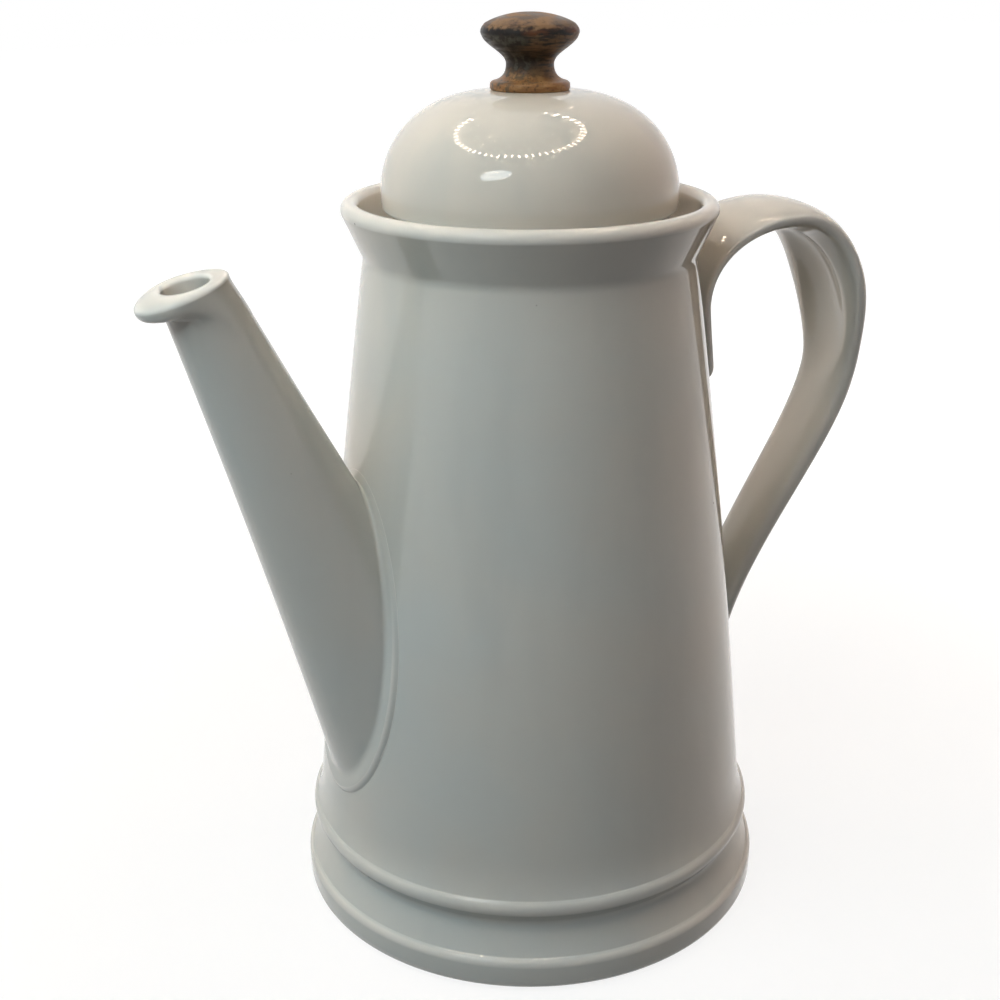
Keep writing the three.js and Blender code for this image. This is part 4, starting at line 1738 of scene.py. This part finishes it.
@dataclass
class Studio:
    """A pale floor, a pale surround, soft lamps and the camera at the photograph's angle."""

    floor_width: float = 8.0
    floor_colour: Colour = (0.19, 0.19, 0.19)
    floor_roughness: float = 0.9
    floor_near: float = 0.84
    floor_fade: Span = (0.1, 0.5)
    surround: Colour = (0.04, 0.04, 0.04)
    camera_place: tuple[float, float, float] = (-0.19337, -0.35614, 0.27879)
    camera_pitch: float = 21.09
    lens: float = 52.0
    sensor: float = 36.0
    shift_across: float = -0.03
    nearest: float = 0.01
    lamps: tuple[Lamp, ...] = (
        Lamp("Window", (-0.485, 0.020, 0.529), 0.40, 0.40, 0.72, (0.68, 0.92, 1.0)),
        Lamp("Front panel", (-0.300, -0.081, 0.540), 0.35, 0.35, 0.60, (0.70, 0.93, 1.0)),
        Lamp("Left panel", (-0.326, 0.440, 0.421), 0.40, 0.40, 1.05, (1.0, 0.77, 0.58)),
        Lamp("Right panel", (0.660, 0.040, 0.330), 0.40, 0.40, 1.40, (1.0, 0.78, 0.62)),
        Lamp(
            "Ring", (-0.056, 0.026, 0.780), 0.75, 0.75, 3.50, (1.0, 0.78, 0.60),
            hollow=0.88, bulbs=44, gap=0.8, shines=True,
        ),
        Lamp("Slit", (-0.695, -0.451, 0.775), 0.40, 0.19, 1.45, (0.88, 0.97, 1.0), turn=24.0, shines=True),
    )

    def camera(self) -> None:
        """Adds the camera."""
        lens = bpy.data.cameras.new("Camera")
        lens.lens = self.lens
        lens.sensor_width = self.sensor
        lens.shift_x = self.shift_across
        lens.clip_start = self.nearest
        camera = bpy.data.objects.new("Camera", lens)
        x, y, _ = self.camera_place
        flat = Vector((-x, -y, 0.0)).normalized()
        pitch = math.radians(self.camera_pitch)
        looking = flat * math.cos(pitch) - Vector((0.0, 0.0, math.sin(pitch)))
        camera.location = self.camera_place
        camera.rotation_euler = looking.to_track_quat("-Z", "Y").to_euler()
        bpy.context.scene.collection.objects.link(camera)
        bpy.context.scene.camera = camera

    @staticmethod
    def seen(graph: NodeGraph) -> Socket:
        """Gives 1 for rays from the camera, or mirrored or bent on their way from it, and 0 for others.

        Args:
            graph: The tree that the nodes go into.

        Returns:
            The number.
        """
        rays = graph.node("ShaderNodeLightPath", {}).outputs
        either = graph.math("MAXIMUM", rays["Is Camera Ray"], rays["Is Glossy Ray"])
        return graph.math("MAXIMUM", either, rays["Is Transmission Ray"])

    def room(self) -> None:
        """Lights the surround: white where it is seen, plain and pale where it only lights the pot."""
        world = bpy.data.worlds.new("Surround")
        world.use_nodes = True
        bpy.context.scene.world = world
        graph = NodeGraph(world.node_tree)
        plain = graph.tree.nodes["Background"]
        graph.feed(plain.inputs["Color"], self.surround)
        white = graph.node("ShaderNodeBackground", {"Color": (1.0, 1.0, 1.0)})
        mixed = graph.node("ShaderNodeMixShader", {0: self.seen(graph), 1: plain.outputs[0], 2: white.outputs[0]})
        graph.feed(graph.tree.nodes["World Output"].inputs["Surface"], mixed.outputs[0])

    def floor(self) -> None:
        """Lays the pale floor, lifted towards white where the camera sees it, with the pot's shadow on it."""
        mesh = bpy.data.meshes.new("Floor")
        half = self.floor_width / 2
        mesh.from_pydata([(-half, -half, 0), (half, -half, 0), (half, half, 0), (-half, half, 0)], [], [(0, 1, 2, 3)])
        floor = mesh_object("Floor", mesh)
        cloth = FinishTree("Pale floor")
        reach = cloth.node("ShaderNodeVectorMath", {0: cloth.place}, operation="LENGTH").outputs["Value"]
        rise = cloth.band(reach, self.floor_fade, self.floor_near, 1.0)
        glow = cloth.node("ShaderNodeEmission", {"Strength": cloth.times(rise, self.seen(cloth))})
        both = cloth.node("ShaderNodeAddShader", {0: cloth.shader.outputs[0], 1: glow.outputs[0]})
        cloth.feed(cloth.tree.nodes["Material Output"].inputs["Surface"], both.outputs[0])
        mesh.materials.append(
            cloth.wear(Base_Color=self.floor_colour, Roughness=self.floor_roughness, Specular_IOR_Level=0.0)
        )

    def build(self) -> None:
        """Builds the room and sets the plain view of its colours."""
        self.camera()
        self.room()
        self.floor()
        for lamp in self.lamps:
            lamp.build()
        bpy.context.scene.view_settings.view_transform = "Standard"


def settle(piece: Piece, carrier: Carrier, node: str) -> None:
    """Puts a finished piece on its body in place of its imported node.

    Args:
        piece: The finished piece.
        carrier: The body that it rides on.
        node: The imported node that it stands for.
    """
    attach(piece, carrier.value)
    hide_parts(node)
    triangles = sum(len(p.vertices) - 2 for p in piece.data.polygons)
    log.info("%s: %d triangles, rides on %s, stands for %s", piece.name, triangles, carrier.value, node)


def main() -> None:
    """Builds the room, then the pot's pieces in the order in which they are put together."""
    logging.basicConfig(level=logging.INFO, format="%(message)s", stream=sys.stdout)
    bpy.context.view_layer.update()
    Studio().build()
    lathe, press = Lathe(), StrapPress()
    glaze = StonewareGlaze().material()
    pot = PotBody()
    lid = Lid(pot)
    knob = Knob(lid)
    fixing = Fixing(knob)
    settle(pot.build(lathe, glaze), Carrier.POT, "pot_body")
    settle(Spout(pot).build(glaze), Carrier.POT, "spout")
    settle(Handle(pot).build(press, lathe, glaze), Carrier.POT, "handle")
    settle(lid.build(lathe, glaze), Carrier.LID, "lid")
    wood = TurnedWood(lid.top * MM).material()
    settle(knob.build(lathe, wood), Carrier.LID, "knob")
    settle(fixing.washer(lathe, PressedFibre().material()), Carrier.LID, "knob_washer")
    settle(fixing.screw(lathe, TurnedSteel().material()), Carrier.LID, "knob_screw")


if __name__ == "__main__":
    main()
